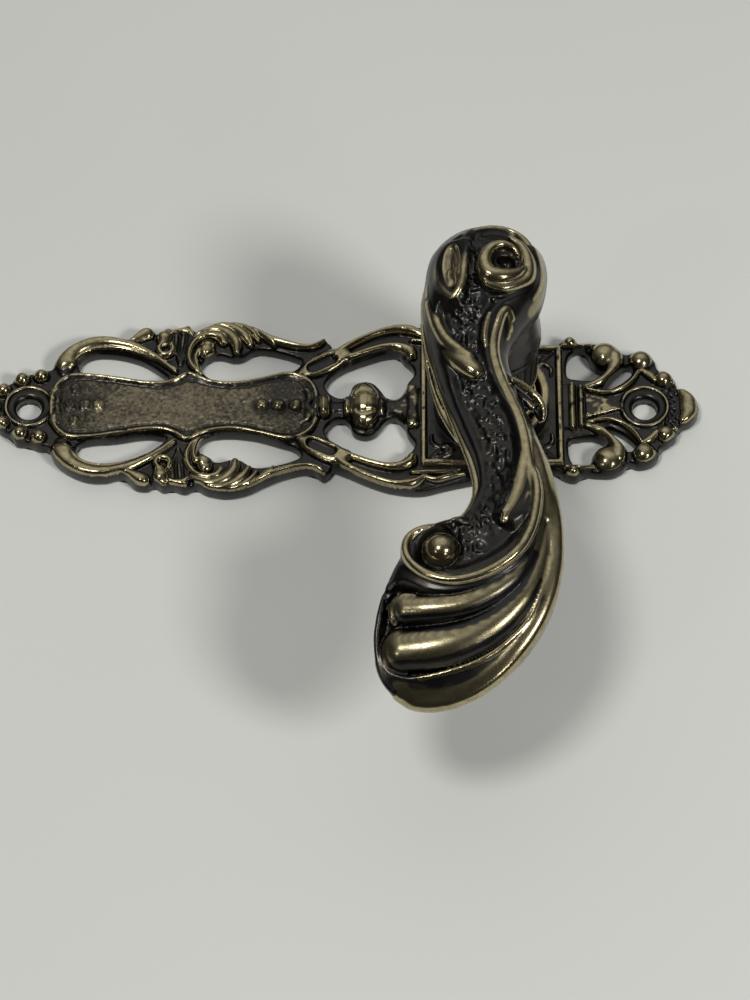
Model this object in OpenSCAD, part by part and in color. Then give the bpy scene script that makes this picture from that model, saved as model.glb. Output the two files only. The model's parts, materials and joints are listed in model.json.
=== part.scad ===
// Lever door handle on a long openwork backplate, cast in the rococo style.
// The plate lies in the XY plane with its back face at z = 0. The origin is on the spindle
// axis, +X runs along the plate towards its short end, and the lever points along -Y.

/* [Backplate] */
// Thickness of the openwork web
web_t = 3.4; // [2.8:0.1:3.5]
// Height of the raised scrolls above the back face
scroll_h = 4; // [3.6:0.1:4.4]
// Distance between the two fixing screw holes
screw_spacing = 131.4; // [130:0.1:133]
// Place of the upper fixing hole along the plate
upper_screw_x = 32.7; // [32:0.1:33.4]
// Diameter of a fixing hole
screw_hole_d = 5.4; // [5:0.1:5.8]
// Diameter of the countersink at the front
countersink_d = 8.4; // [8:0.1:8.8]

/* [Square block and boss] */
// Side of the square block around the spindle axis
block_side = 30; // [29:0.5:31]
// Height of the block's frame
block_h = 4.6; // [4.4:0.1:5]
// Height of the block's sunken panel
panel_h = 3.6; // [3.5:0.1:3.8]
// Diameter of the boss ring
boss_d = 24.5; // [24:0.1:25]
// Height of the boss ring
boss_h = 8.5; // [8.3:0.1:8.8]
// Diameter of the spring cavity behind the boss
cavity_d = 20.8; // [20.6:0.1:21]

/* [Lever] */
// Side of the square socket for the spindle
socket_side = 7.2; // [7:0.1:7.4]
// Depth of the socket, from the back face
socket_depth = 30; // [26:1:32]
// Diameter of the journal that turns in the plate
journal_d = 13; // [12.9:0.1:13]
// Height of the lever's arm above the plate, at the axis
arm_z = 50.5; // [50:0.1:51]
// Number of flutes around the ferrule
flute_count = 30; // [24:2:36]

/* [Return spring] */
// Mean radius of the coil
coil_r = 8.6; // [8.5:0.05:8.65]
// Diameter of the spring wire
wire_d = 0.8; // [0.7:0.05:0.8]

/* [Hidden] */
$fn = 48;
eps = 0.01;
// Running clearance of the journal
fit = 0.05;
brass = [0.42, 0.37, 0.24];
steel = [0.6, 0.6, 0.6];

lower_screw_x = upper_screw_x - screw_spacing;
boss_r = boss_d / 2;
boss_ring_w = 1.8;
boss_floor_z = 7.4;
cavity_r = cavity_d / 2;
cavity_top_z = 6;
cover_r = 13.5;
cover_z = [0.1, 0.9];
cover_screw_r = 12.3;
journal_r = journal_d / 2;
journal_end_z = 0.35;
flat_x = 5.7;
bush_r = 7.6;
bush_bottom_z = 3.3;
bush_flange_z = [7.45, 8.25];
shoulder_z = 8.8;
clip_z = [1.25, 1.95];
driver_z = [2.05, 2.95];
tab_top_z = 3.9;
tongue_a = 90;
tongue_half_a = 7;
travel_a = 45;
stop_r = [9.3, cavity_r + 0.5];
leg_r = 10.1;
grub_z = 13.1;
grub_r = 2.5;
ferrule_z = [17, 27];
spigot_r = 8;

// Smooth curves through points -------------------------------------------------------------

// One point on a Catmull-Rom curve between b and c
function curve_point(a, b, c, d, t) =
    0.5 * (2 * b + (c - a) * t + (2 * a - 5 * b + 4 * c - d) * t * t + (3 * b - a - 3 * c + d) * t * t * t);
function closed_curve(p, steps) = [
    for (i = [0 : len(p) - 1])
        for (j = [0 : steps - 1])
            curve_point(
                p[(i + len(p) - 1) % len(p)], p[i], p[(i + 1) % len(p)], p[(i + 2) % len(p)], j / steps
            )
];
function open_curve(p, steps) = [
    for (i = [0 : len(p) - 2])
        for (j = [0 : steps - 1])
            curve_point(p[max(i - 1, 0)], p[i], p[i + 1], p[min(i + 2, len(p) - 1)], j / steps),
    p[len(p) - 1]
];
function mirrored(p) = [for (i = [len(p) - 1 : -1 : 0]) [p[i][0], -p[i][1]]];
function unit(v) = v / norm(v);
// Direction of a list of points at index i
function run(p, i) = unit(p[min(i + 1, len(p) - 1)] - p[max(i - 1, 0)]);
function left_of(v) = [-v[1], v[0]];

// A flat band along a curve, as wide at each end as the two widths say
module band(p, w0, w1) {
    c = open_curve(p, 4);
    last = len(c) - 1;
    polygon([
        for (i = [0 : last]) c[i] + left_of(run(c, i)) * (w0 + (w1 - w0) * i / last) / 2,
        for (i = [last : -1 : 0]) c[i] - left_of(run(c, i)) * (w0 + (w1 - w0) * i / last) / 2
    ]);
}

// The shapes on both sides of the plate's long axis
module both_sides() {
    children();
    mirror([0, 1, 0]) children();
}

// Backplate ---------------------------------------------------------------------------------

// Upper half of the outline, from the lower end of the plate to its upper end
outline = [
    [-107.5, 0], [-106.6, 2.6], [-105, 5.2], [-102.4, 6.8], [-101, 8.6], [-98.4, 8.9], [-96.2, 9.9],
    [-94.2, 10.1], [-92.8, 13], [-90, 15.7], [-86, 17.7], [-82, 18], [-78.2, 17.2], [-75.4, 19.7],
    [-73, 20.1], [-71.4, 19.2], [-69.4, 20.4], [-67.6, 19.9], [-65, 20.8], [-62.6, 19.8], [-60, 21.2],
    [-56, 21.9], [-51.8, 21], [-48, 18.9], [-44, 17], [-40, 15.9], [-37.8, 16.2], [-35.8, 17.6],
    [-34.4, 16.6], [-33.6, 15.4], [-31, 16.4], [-26, 18.9], [-21, 20.7], [-15, 21.2], [-9, 19.6],
    [0, 17.6], [9, 16], [13.6, 16.1], [15.2, 17.3], [17.4, 18], [19.6, 16.6], [22.4, 16.8],
    [25.4, 16.7], [27.6, 15.4], [29, 14], [31, 14.6], [33.4, 14.1], [35.2, 12.4], [35.8, 10.2],
    [37.6, 8.9], [39.2, 7.4], [40, 5], [42.2, 3.8], [43.8, 1.9], [44.3, 0]
];

opening_a = [
    [-88.2, 11], [-87, 13], [-84.4, 14.1], [-80.6, 14], [-76.6, 13], [-73, 11.2], [-69.4, 8],
    [-71.4, 6.9], [-75, 7], [-80, 7.9], [-85, 8.4], [-87.6, 9.2]
];
opening_b = [
    [-62.2, 10.6], [-60.6, 13], [-58, 13.7], [-55.4, 13], [-53.4, 13.2], [-51, 14.8], [-49, 15.1],
    [-45.4, 14.4], [-42, 13.2], [-40.6, 12], [-42, 10], [-45, 8.9], [-50, 7.3], [-55, 6.6],
    [-59.4, 7], [-61.8, 8.6]
];
opening_c = [
    [-35.4, 6.2], [-34, 8.4], [-31, 10.6], [-27, 12.4], [-23, 13.9], [-20, 14.1], [-18.6, 12.4],
    [-17, 10.8], [-16.5, 8.8], [-17.8, 6.6], [-18.6, 4.2], [-20.4, 2.4], [-22.4, 3], [-23.8, 5],
    [-25.2, 6.5], [-27.2, 7], [-29.4, 6], [-30.4, 3.6], [-32, 2.7], [-33.6, 3.2], [-35, 4.6]
];
opening_d = [
    [16.4, 8.4], [18.6, 7.5], [21.4, 7.3], [23.6, 8.4], [24.8, 10.4], [24.2, 12.2], [22.6, 12.3],
    [21.6, 13.9], [20, 15.2], [17.8, 14.8], [16.5, 12.6]
];
opening_e = [
    [24, 5.1], [25.6, 5.2], [28, 6.6], [30, 8.6], [30.4, 10.4], [28.8, 10.9], [27.2, 9.2], [25, 6.8]
];

scroll_a = [[-90.6, 9.8], [-90.4, 13], [-87, 15.9], [-82, 16.7], [-77, 15.7], [-72, 12.8], [-68, 9.9]];
scroll_b = [[-62.4, 8.5], [-64.6, 11.6], [-64.2, 15], [-62, 17.4], [-59.4, 17.4], [-59.4, 15]];
leaf_b = [[-60, 19.6], [-55, 19.2], [-51, 18], [-46.4, 16.4], [-41.6, 15.2], [-37, 15.6]];
ribbon_out = [[-36, 12], [-32, 15], [-28, 17.6], [-22, 20], [-15.4, 19]];
ribbon_in = [[-38, 8], [-32, 12.2], [-28, 14.2], [-22, 16], [-17.2, 14]];
scroll_d = [[16, 3.2], [20.4, 4.6], [24.6, 6.8], [27, 11], [26.4, 14.4], [23.6, 15.4]];
cartouche = [
    [-94, 0], [-93.4, 4.8], [-89.6, 7.5], [-84, 7.3], [-77, 6.2], [-70.4, 5.7], [-64.8, 7.8],
    [-60, 6.2], [-54.4, 5.9], [-48, 7.2], [-42.4, 8], [-38.4, 5.6], [-38.2, 0]
];
// Beads along the edge: x, y, radius
beads = [
    [-104, 4.5, 1.3], [-100.1, 7, 1.4], [-96.1, 7.9, 1.4], [-73.5, 18.6, 1.3], [-69.7, 14.7, 1.5],
    [24.4, 14.3, 2.4], [32.1, 11.8, 2], [37, 7.2, 1.7]
];

module plate_outline() {
    polygon(concat(
        open_curve(outline, 4),
        [for (p = mirrored(open_curve(outline, 4))) if (abs(p[1]) > eps) p]
    ));
}

module plate_openings() {
    both_sides() {
        polygon(closed_curve(opening_a, 3));
        polygon(closed_curve(opening_b, 3));
        polygon(closed_curve(opening_c, 3));
        polygon(closed_curve(opening_d, 3));
        polygon(closed_curve(opening_e, 3));
    }
}

module raised_scrolls() {
    both_sides() {
        band(scroll_a, 2.6, 1.2);
        band(scroll_b, 1.6, 1.4);
        band(leaf_b, 2, 1.4);
        band(ribbon_out, 1.6, 1.4);
        band(ribbon_in, 1.6, 1.4);
        band(scroll_d, 2, 1.4);
    }
}

// The narrow sunken panel, with a rim, on the lower half of the plate
module cartouche_panel() {
    outer = concat(open_curve(cartouche, 3), [
        for (p = mirrored(open_curve(cartouche, 3))) if (abs(p[1]) > eps) p
    ]);
    inner = [for (p = outer) [p[0] + (p[0] < -66 ? 0.9 : -0.9), p[1] * 0.86]];
    linear_extrude(scroll_h - 0.3)
        difference() {
            polygon(outer);
            polygon(inner);
        }
    linear_extrude(3.1)
        polygon(outer);
}

// The turned vase between the cartouche and the block, half sunk in the plate
module vase() {
    intersection() {
        translate([0, 0, 1.6])
            rotate([0, 90, 0])
                rotate_extrude()
                    polygon([
                        [0, -37], [3.2, -37], [3.2, -34.8], [1.5, -34.2], [1.5, -31.6], [2.6, -31],
                        [2.6, -30.2], [4.6, -29.4], [5.6, -27], [4.6, -24.4], [2.8, -23.4],
                        [1.7, -22.4], [1.7, -20], [3.4, -18.4], [4.4, -17.6], [4.4, -14], [0, -14]
                    ]);
        translate([-40, -8, 0])
            cube([30, 16, scroll_h + 1.3]);
    }
}

module block() {
    half = block_side / 2;
    difference() {
        translate([-half, -half - 0.2, 0])
            cube([block_side, block_side + 0.4, block_h]);
        translate([-half + 1.2, -half + 1, panel_h])
            cube([block_side - 2.4, block_side - 2, block_h]);
    }
}

module boss() {
    difference() {
        cylinder(h = boss_h, r = boss_r);
        translate([0, 0, boss_floor_z])
            cylinder(h = boss_h, r = boss_r - boss_ring_w);
    }
}

// Cast stops inside the cavity: one for the lever at rest and one for its full turn
module lever_stops() {
    for (side = [[tongue_a + tongue_half_a + 0.3, 1], [tongue_a - travel_a - tongue_half_a - 0.3, -1]])
        rotate([0, 0, side[0]])
            mirror([0, side[1] < 0 ? 1 : 0, 0])
                translate([stop_r[0], 0, cover_z[1] + 0.15])
                    cube([stop_r[1] - stop_r[0], 1.7, cavity_top_z - cover_z[1]]);
}

module backplate() {
    color(brass)
        difference() {
            union() {
                difference() {
                    union() {
                        linear_extrude(web_t)
                            plate_outline();
                        linear_extrude(scroll_h)
                            intersection() {
                                raised_scrolls();
                                plate_outline();
                            }
                        cartouche_panel();
                    }
                    translate([0, 0, -1])
                        linear_extrude(scroll_h + 2)
                            plate_openings();
                }
                both_sides()
                    for (b = beads)
                        translate([b[0], b[1], 0])
                            cylinder(h = scroll_h, r = b[2]);
                vase();
                block();
                boss();
                translate([15, -5.4, 0])
                    cube([2.6, 10.8, 3.9]);
                translate([42.6, 0, 0])
                    cylinder(h = 3.6, r = 1.7);
                for (x = [lower_screw_x, upper_screw_x])
                    translate([x, 0, 0])
                        cylinder(h = scroll_h, r = countersink_d / 2 + 0.9);
            }
            for (x = [lower_screw_x, upper_screw_x])
                translate([x, 0, 0]) {
                    translate([0, 0, -1])
                        cylinder(h = 10, d = screw_hole_d);
                    translate([0, 0, scroll_h - 1.5])
                        cylinder(h = 1.5 + eps, d1 = screw_hole_d, d2 = countersink_d);
                }
            difference() {
                translate([0, 0, -1])
                    cylinder(h = cavity_top_z + 1, r = cavity_r);
                lever_stops();
            }
            translate([0, 0, -1])
                cylinder(h = 2, r = cover_r + 0.1);
            translate([0, 0, -1])
                cylinder(h = 12, r = bush_r + 0.02);
            for (a = [45, 225])
                rotate([0, 0, a])
                    translate([cover_screw_r, 0, -1])
                        cylinder(h = 4, r = 0.8);
        }
}

// Parts held in the boss --------------------------------------------------------------------

module neck_bush() {
    color([0.7, 0.55, 0.3])
        rotate_extrude()
            polygon([
                [journal_r + fit, bush_bottom_z], [bush_r, bush_bottom_z], [bush_r, bush_flange_z[0]],
                [9.4, bush_flange_z[0]], [9.4, bush_flange_z[1]], [journal_r + fit, bush_flange_z[1]]
            ]);
}

module washer(inner_r, outer_r, z0, z1) {
    difference() {
        translate([0, 0, z0])
            cylinder(h = z1 - z0, r = outer_r);
        translate([0, 0, z0 - 1])
            cylinder(h = z1 - z0 + 2, r = inner_r);
    }
}

module thrust_washer() {
    color([0.85, 0.85, 0.8])
        washer(journal_r + fit, 9, bush_flange_z[1], shoulder_z - fit);
}

// A thin spring washer of three waves, swept as one closed ring
module wave_washer() {
    rings = 72;
    inner = journal_r + 0.1;
    outer = bush_r;
    thick = 0.12;
    middle = (driver_z[1] + bush_bottom_z) / 2;
    lift = 0.1;
    color(steel)
        polyhedron(
            [
                for (i = [0 : rings - 1])
                    let (a = 360 * i / rings, z = middle + lift * cos(3 * a))
                        each [
                            [inner * cos(a), inner * sin(a), z - thick / 2],
                            [outer * cos(a), outer * sin(a), z - thick / 2],
                            [outer * cos(a), outer * sin(a), z + thick / 2],
                            [inner * cos(a), inner * sin(a), z + thick / 2]
                        ]
            ],
            [
                for (i = [0 : rings - 1])
                    for (k = [0 : 3])
                        let (p = 4 * i, q = 4 * ((i + 1) % rings), m = (k + 1) % 4)
                            each [[p + k, q + m, p + m], [p + k, q + k, q + m]]
            ]
        );
}

// A tube with closed ends along a list of points that stay nearly level
module swept_wire(p, r, sides) {
    last = len(p) - 1;
    function heading(i) = unit(p[min(i + 1, last)] - p[max(i - 1, 0)]);
    polyhedron(
        [
            for (i = [0 : last])
                let (t = heading(i), s = unit(cross(t, [0, 0, 1])), u = cross(s, t))
                    for (k = [0 : sides - 1])
                        p[i] + r * (cos(360 * k / sides) * s + sin(360 * k / sides) * u)
        ],
        concat(
            [[for (k = [sides - 1 : -1 : 0]) k]],
            [[for (k = [0 : sides - 1]) last * sides + k]],
            [
                for (i = [0 : last - 1])
                    for (k = [0 : sides - 1])
                        let (a = i * sides + k, b = i * sides + (k + 1) % sides)
                            each [[a, b, b + sides], [a, b + sides, a + sides]]
            ]
        )
    );
}

function polar(r, a, z) = [r * cos(a), r * sin(a), z];

// Torsion spring: its upper leg bears on a cast stop, and its lower leg on the driver's tab
module return_spring() {
    leg_half_a = asin(wire_d / 2 / leg_r) + 0.3;
    top_a = tongue_a - travel_a - tongue_half_a - 0.3 + leg_half_a;
    end_a = tongue_a - tongue_half_a - leg_half_a - 0.2;
    turn_a = 720 - (end_a - top_a);
    z_top = 5.4;
    z_low = 3.42;
    steps = 52;
    path = concat(
        [polar(leg_r, top_a, z_top), polar(9.4, top_a, z_top), polar(8.9, top_a - 0.8, z_top)],
        [
            for (i = [0 : steps])
                let (a = 3 + (turn_a - 6) * i / steps)
                    polar(coil_r, top_a - a, z_top - (z_top - z_low) * i / steps)
        ],
        [polar(8.9, end_a + 0.8, z_low), polar(9.4, end_a, z_low), polar(leg_r, end_a, z_low)]
    );
    color(steel)
        swept_wire(path, wire_d / 2, 8);
}

// The journal's end between its two flats, and the driver's hole that fits it
module double_flat(r, x, z0, z1) {
    intersection() {
        translate([0, 0, z0])
            cylinder(h = z1 - z0, r = r);
        translate([-x, -r - 1, z0])
            cube([2 * x, 2 * r + 2, z1 - z0]);
    }
}

// Keyed on the journal's flats, with a tongue that meets the stops and a tab for the spring
module spring_driver() {
    tab_w = 2 * leg_r * sin(tongue_half_a) * 0.9;
    color([0.72, 0.72, 0.68])
        difference() {
            union() {
                translate([0, 0, driver_z[0]])
                    cylinder(h = driver_z[1] - driver_z[0], r = 8);
                rotate([0, 0, tongue_a]) {
                    translate([7, -tab_w / 2, driver_z[0]])
                        cube([leg_r - 7, tab_w, driver_z[1] - driver_z[0]]);
                    translate([9.3, -tab_w / 2, driver_z[0]])
                        cube([leg_r - 9.3, tab_w, tab_top_z - driver_z[0]]);
                }
            }
            double_flat(journal_r + fit, flat_x + fit, driver_z[0] - 1, driver_z[1] + 1);
        }
}

module retaining_ring() {
    color(steel)
        difference() {
            washer(6.05, 7.8, clip_z[0] + fit, clip_z[1] - fit);
            translate([-1.4, -9, 0])
                cube([2.8, 5, 3]);
        }
}

module spring_cover() {
    color([0.62, 0.62, 0.58])
        difference() {
            washer(journal_r + 0.3, cover_r, cover_z[0], cover_z[1]);
            for (a = [45, 225])
                rotate([0, 0, a])
                    translate([cover_screw_r, 0, cover_z[0]])
                        cylinder(h = 0.4, r1 = 1.15, r2 = 0.8);
            for (a = [45, 225])
                rotate([0, 0, a])
                    translate([cover_screw_r, 0, -1])
                        cylinder(h = 4, r = 0.85);
        }
}

// Two small countersunk screws that hold the spring cover
module cover_screws() {
    color([0.5, 0.5, 0.5])
        for (a = [45, 225])
            rotate([0, 0, a])
                translate([cover_screw_r, 0, 0])
                    difference() {
                        union() {
                            translate([0, 0, cover_z[0] + eps])
                                cylinder(h = 0.35, r1 = 1.05, r2 = 0.75);
                            translate([0, 0, cover_z[0] + eps])
                                cylinder(h = 2.6, r = 0.75);
                        }
                        translate([-2, -0.15, 0])
                            cube([4, 0.3, 0.35]);
                    }
}

// Lever -------------------------------------------------------------------------------------

// Sections across the lever from its head to its tip: y, left x, right x, lowest z, highest z,
// and how far the shell is dished on its underside
arm_sections = [
    [10.2, -4, 0.4, -1.5, 1.5, 0], [9.5, -7.4, 4.4, -5, 5, 0], [7.2, -10.6, 7.8, -8, 7.8, 0],
    [3.4, -12.8, 9.6, -9.6, 9.6, 0], [-2, -14.2, 10.2, -10, 10.4, 0], [-8, -15, 9, -9.2, 9.6, 0],
    [-14, -14.6, 4.8, -8, 7.4, 0], [-20, -13.5, 2.2, -7.6, 5.6, 0], [-28, -11.5, 4, -8, 4.4, 0],
    [-36, -8.6, 7, -8.6, 3.6, 0], [-44, -5.8, 10, -9.4, 3, 0], [-50, -4.8, 11.4, -10, 2.6, 0],
    [-55, -7, 12.2, -10.8, 2.2, 0.5], [-58, -9.8, 12.4, -11.4, 2, 1.6], [-59.4, -15.4, 12.5, -11.8, 1.8, 2.6],
    [-61.4, -18.4, 12.5, -12.2, 1.5, 3.6], [-65, -20, 12.4, -12.8, 1, 4.6], [-70, -22.4, 11.8, -13.6, -0.4, 5.4],
    [-75.6, -24.2, 10.2, -14.8, -2.4, 5.4], [-81.2, -25, 7.2, -15.8, -5, 4.8], [-85.8, -24.8, 3.4, -16.4, -7.4, 3.4],
    [-89.4, -23.8, -0.8, -16.8, -9.8, 1.6], [-92.6, -21.2, -6, -16.8, -12.4, 0],
    [-94.2, -18, -11, -16.2, -14.2, 0]
];

// One section: an oval a little fuller than an ellipse, dished from below
function section_ring(s, sides) = [
    for (k = [0 : sides - 1])
        let (
            a = 360 * k / sides,
            cx = (s[1] + s[2]) / 2,
            cz = arm_z + (s[3] + s[4]) / 2,
            px = sign(cos(a)) * pow(abs(cos(a)), 0.9),
            pz = sign(sin(a)) * pow(abs(sin(a)), 0.9),
            dish = sin(a) < 0 ? s[5] * pow(1 - px * px, 2) : 0
        )
            [cx + px * (s[2] - s[1]) / 2, s[0], cz + pz * (s[4] - s[3]) / 2 + dish]
];

module arm() {
    sides = 28;
    sections = open_curve(arm_sections, 2);
    last = len(sections) - 1;
    polyhedron(
        [for (s = sections) each section_ring(s, sides)],
        concat(
            [[for (k = [0 : sides - 1]) k]],
            [[for (k = [sides - 1 : -1 : 0]) last * sides + k]],
            [
                for (i = [0 : last - 1])
                    for (k = [0 : sides - 1])
                        let (a = i * sides + k, b = i * sides + (k + 1) % sides)
                            each [[a, b + sides, b], [a, a + sides, b + sides]]
            ]
        )
    );
}

// The turned neck: journal, shoulder, cove, spigot for the ferrule and the smooth flared top
module neck() {
    rotate_extrude()
        polygon([
            [0, journal_end_z], [journal_r - 0.3, journal_end_z], [journal_r, journal_end_z + 0.3],
            [journal_r, clip_z[0]], [6, clip_z[0]], [6, clip_z[1]], [journal_r, clip_z[1]],
            [journal_r, shoulder_z], [9, shoulder_z], [9, 9.6], [7.9, 10.4], [7.9, 15.8],
            [spigot_r - fit, 16.6], [spigot_r - fit, ferrule_z[1] + fit], [9.6, ferrule_z[1] + fit],
            [9.6, 28.2], [9.85, 30], [9.7, 33], [9.3, 36], [9, 40], [9, 46], [0, 46]
        ]);
}

module lever() {
    color(brass)
        difference() {
            union() {
                neck();
                arm();
            }
            translate([-socket_side / 2, -socket_side / 2, -1])
                cube([socket_side, socket_side, socket_depth + 1]);
            for (side = [-1, 1])
                translate([side > 0 ? flat_x : -flat_x - 4, -10, -1])
                    cube([4, 20, driver_z[1] + fit + 1]);
            translate([0, 0, grub_z])
                rotate([90, 0, 0])
                    cylinder(h = 20, r = grub_r + fit);
        }
}

module neck_ferrule() {
    color(brass)
        difference() {
            union() {
                translate([0, 0, ferrule_z[0]])
                    cylinder(h = ferrule_z[1] - ferrule_z[0], r = 9.35);
                translate([0, 0, ferrule_z[0]])
                    cylinder(h = 0.9, r = 9.6);
            }
            translate([0, 0, ferrule_z[0] - 1])
                cylinder(h = 20, r = spigot_r);
            for (i = [0 : flute_count - 1])
                rotate([0, 0, 360 * i / flute_count])
                    translate([9.6, 0, ferrule_z[0] + 1.4])
                        cylinder(h = 10, r = 0.62, $fn = 24);
        }
}

module grub_screw() {
    color([0.35, 0.35, 0.35])
        translate([0, -3.75, grub_z])
            rotate([90, 0, 0])
                difference() {
                    cylinder(h = 4, r = grub_r);
                    translate([0, 0, 1.8])
                        cylinder(h = 4, r = 1.44, $fn = 6);
                }
}

backplate();
neck_bush();
thrust_washer();
wave_washer();
return_spring();
spring_driver();
retaining_ring();
spring_cover();
cover_screws();
lever();
neck_ferrule();
grub_screw();
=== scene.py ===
import json
import math

import bpy
import bmesh
import numpy as np
import openvdb
from mathutils import Euler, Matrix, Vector
from mathutils.geometry import delaunay_2d_cdt


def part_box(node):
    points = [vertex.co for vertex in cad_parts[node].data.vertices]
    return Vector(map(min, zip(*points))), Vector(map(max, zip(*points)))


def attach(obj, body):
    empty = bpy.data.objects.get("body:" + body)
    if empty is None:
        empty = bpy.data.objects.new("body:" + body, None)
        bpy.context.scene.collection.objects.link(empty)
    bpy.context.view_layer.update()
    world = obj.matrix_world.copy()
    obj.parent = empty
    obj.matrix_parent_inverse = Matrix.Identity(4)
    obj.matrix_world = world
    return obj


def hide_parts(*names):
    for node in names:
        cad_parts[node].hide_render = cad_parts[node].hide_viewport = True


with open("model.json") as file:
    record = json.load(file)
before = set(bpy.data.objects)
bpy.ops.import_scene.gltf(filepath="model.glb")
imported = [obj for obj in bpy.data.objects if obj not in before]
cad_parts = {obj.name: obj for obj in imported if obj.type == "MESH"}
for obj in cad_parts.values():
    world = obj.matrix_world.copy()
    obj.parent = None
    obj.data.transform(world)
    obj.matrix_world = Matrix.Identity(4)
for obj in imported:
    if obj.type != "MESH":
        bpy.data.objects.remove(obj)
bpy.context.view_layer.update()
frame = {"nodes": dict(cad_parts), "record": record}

# Lengths below are millimetres in the frame's own axes, and meshes are written in metres.
MM = 0.001


def node_box(name):
    """Lowest and highest corner of a CAD node, in millimetres."""
    low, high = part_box(name)
    return np.array(low) / MM, np.array(high) / MM


PLATE = node_box("backplate")
COVER = node_box("spring_cover")
FERRULE = node_box("neck_ferrule")
LEVER = node_box("lever")
BOLTS = next(m for m in frame["record"]["mounts"] if m["name"] == "fixing_holes")


# ------------------------------------------------------------------ curves, noise and grids

def curve(points, step=0.25):
    """A smooth curve through given points, as one row per sample."""
    p = np.array(points, float)
    ends = np.vstack([2 * p[0] - p[1], p, 2 * p[-1] - p[-2]])
    rows = []
    for a, b, c, d in zip(ends[:-3], ends[1:-2], ends[2:-1], ends[3:]):
        n = max(2, int(np.linalg.norm(c[:2] - b[:2]) / step))
        t = (np.arange(n) / n)[:, None]
        rows.append(0.5 * (2 * b + (c - a) * t + (2 * a - 5 * b + 4 * c - d) * t**2
                           + (3 * b - a - 3 * c + d) * t**3))
    return np.vstack(rows + [p[-1:]])


def closed(points, step=0.25):
    """A smooth closed curve through points."""
    p = list(points)
    whole = curve([p[-1]] + p + [p[0], p[1]], step)
    first = np.argmin(np.linalg.norm(whole - p[0], axis=1))
    last = len(whole) - 1 - np.argmin(np.linalg.norm(whole[::-1] - p[0], axis=1))
    return whole[first:last]


def lattice_noise(shape, cells, seed):
    """Smooth noise of 0 to 1 on a grid, with the given number of cells along each side."""
    rng = np.random.default_rng(seed)
    out = rng.random([c + 2 for c in cells], dtype=np.float32)
    for axis, (n, c) in enumerate(zip(shape, cells)):
        x = np.linspace(0, c - 1e-4, n)
        i = x.astype(int)
        f = (x - i).astype(np.float32)
        f = f * f * (3 - 2 * f)
        f = f.reshape([-1 if k == axis else 1 for k in range(len(shape))])
        out = np.take(out, i, axis) * (1 - f) + np.take(out, i + 1, axis) * f
    return out


def box_blur(a, radius):
    """Mean over a cube or square of cells, along every side in turn."""
    for axis in range(a.ndim):
        pad = [(radius + 1, radius) if k == axis else (0, 0) for k in range(a.ndim)]
        total = np.cumsum(np.pad(a, pad, mode="edge"), axis=axis, dtype=np.float32)
        n = a.shape[axis]
        high = np.take(total, range(2 * radius + 1, 2 * radius + 1 + n), axis)
        low = np.take(total, range(0, n), axis)
        a = (high - low) / (2 * radius + 1)
    return a


def blurred(a, radius):
    """A smooth blur: three box blurs."""
    for _ in range(3):
        a = box_blur(a, radius)
    return a


def sampled(grid, cells):
    """A grid's values between its cells, at points given in cells."""
    cells = np.asarray(cells)
    low = np.clip(np.floor(cells).astype(int), 0, np.array(grid.shape) - 2)
    f = np.clip(cells - low, 0, 1)
    out = np.zeros(len(cells))
    for corner in np.ndindex(*([2] * grid.ndim)):
        w = np.ones(len(cells))
        for k, side in enumerate(corner):
            w = w * (f[:, k] if side else 1 - f[:, k])
        out += w * grid[tuple((low + corner).T)]
    return out


def smooth_step(a, low, high):
    t = np.clip((a - low) / (high - low), 0, 1)
    return t * t * (3 - 2 * t)


def make_piece(name, points, faces, material, body, stands_for=(), masks=None, flat_from=None):
    """A mesh object from points in millimetres, riding on a CAD body."""
    mesh = bpy.data.meshes.new(name)
    polygons = [f for group in faces for f in np.asarray(group).tolist()]
    mesh.from_pydata((np.asarray(points, float) * MM).tolist(), [], polygons)
    smooth = np.ones(len(polygons), bool)
    if flat_from is not None:
        smooth[flat_from:] = False
    mesh.polygons.foreach_set("use_smooth", smooth)
    for key, values in (masks or {}).items():
        layer = mesh.attributes.new(key, "FLOAT", "POINT")
        layer.data.foreach_set("value", np.asarray(values, np.float32))
    mesh.update()
    piece = bpy.data.objects.new(name, mesh)
    bpy.context.scene.collection.objects.link(piece)
    mesh.materials.append(material)
    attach(piece, body)
    if stands_for:
        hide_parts(*stands_for)
    return piece


# ------------------------------------------------------------------ the backplate's relief

PITCH = 0.22
HALF = 22.4
XS = np.arange(-108.4, 45.2, PITCH)
YS = np.arange(0, HALF, PITCH)
GX, GY = np.meshgrid(XS, YS, indexing="ij")


def to_line(gx, gy, p):
    """Distance from each place to an open line, and how far along it the nearest point is."""
    a, b = p[:-1, :2], p[1:, :2]
    ab = b - a
    length = (ab**2).sum(1) + 1e-12
    best = np.full(gx.shape, 1e9)
    along = np.zeros(gx.shape)
    for k in range(len(a)):
        t = np.clip(((gx - a[k, 0]) * ab[k, 0] + (gy - a[k, 1]) * ab[k, 1]) / length[k], 0, 1)
        d = (gx - a[k, 0] - t * ab[k, 0]) ** 2 + (gy - a[k, 1] - t * ab[k, 1]) ** 2
        m = d < best
        best[m] = d[m]
        along[m] = (k + t[m]) / len(a)
    return np.sqrt(best), along


def signed_distance(gx, gy, line):
    """Distance from each place to a closed line, positive inside it."""
    p = np.vstack([line, line[:1]])
    odd = np.zeros(gx.shape, bool)
    for a, b in zip(p[:-1], p[1:]):
        if a[1] != b[1]:
            cross = (a[1] > gy) != (b[1] > gy)
            odd ^= cross & (gx < (b[0] - a[0]) * (gy - a[1]) / (b[1] - a[1]) + a[0])
    d = to_line(gx, gy, p)[0]
    return np.where(odd, d, -d)


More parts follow.
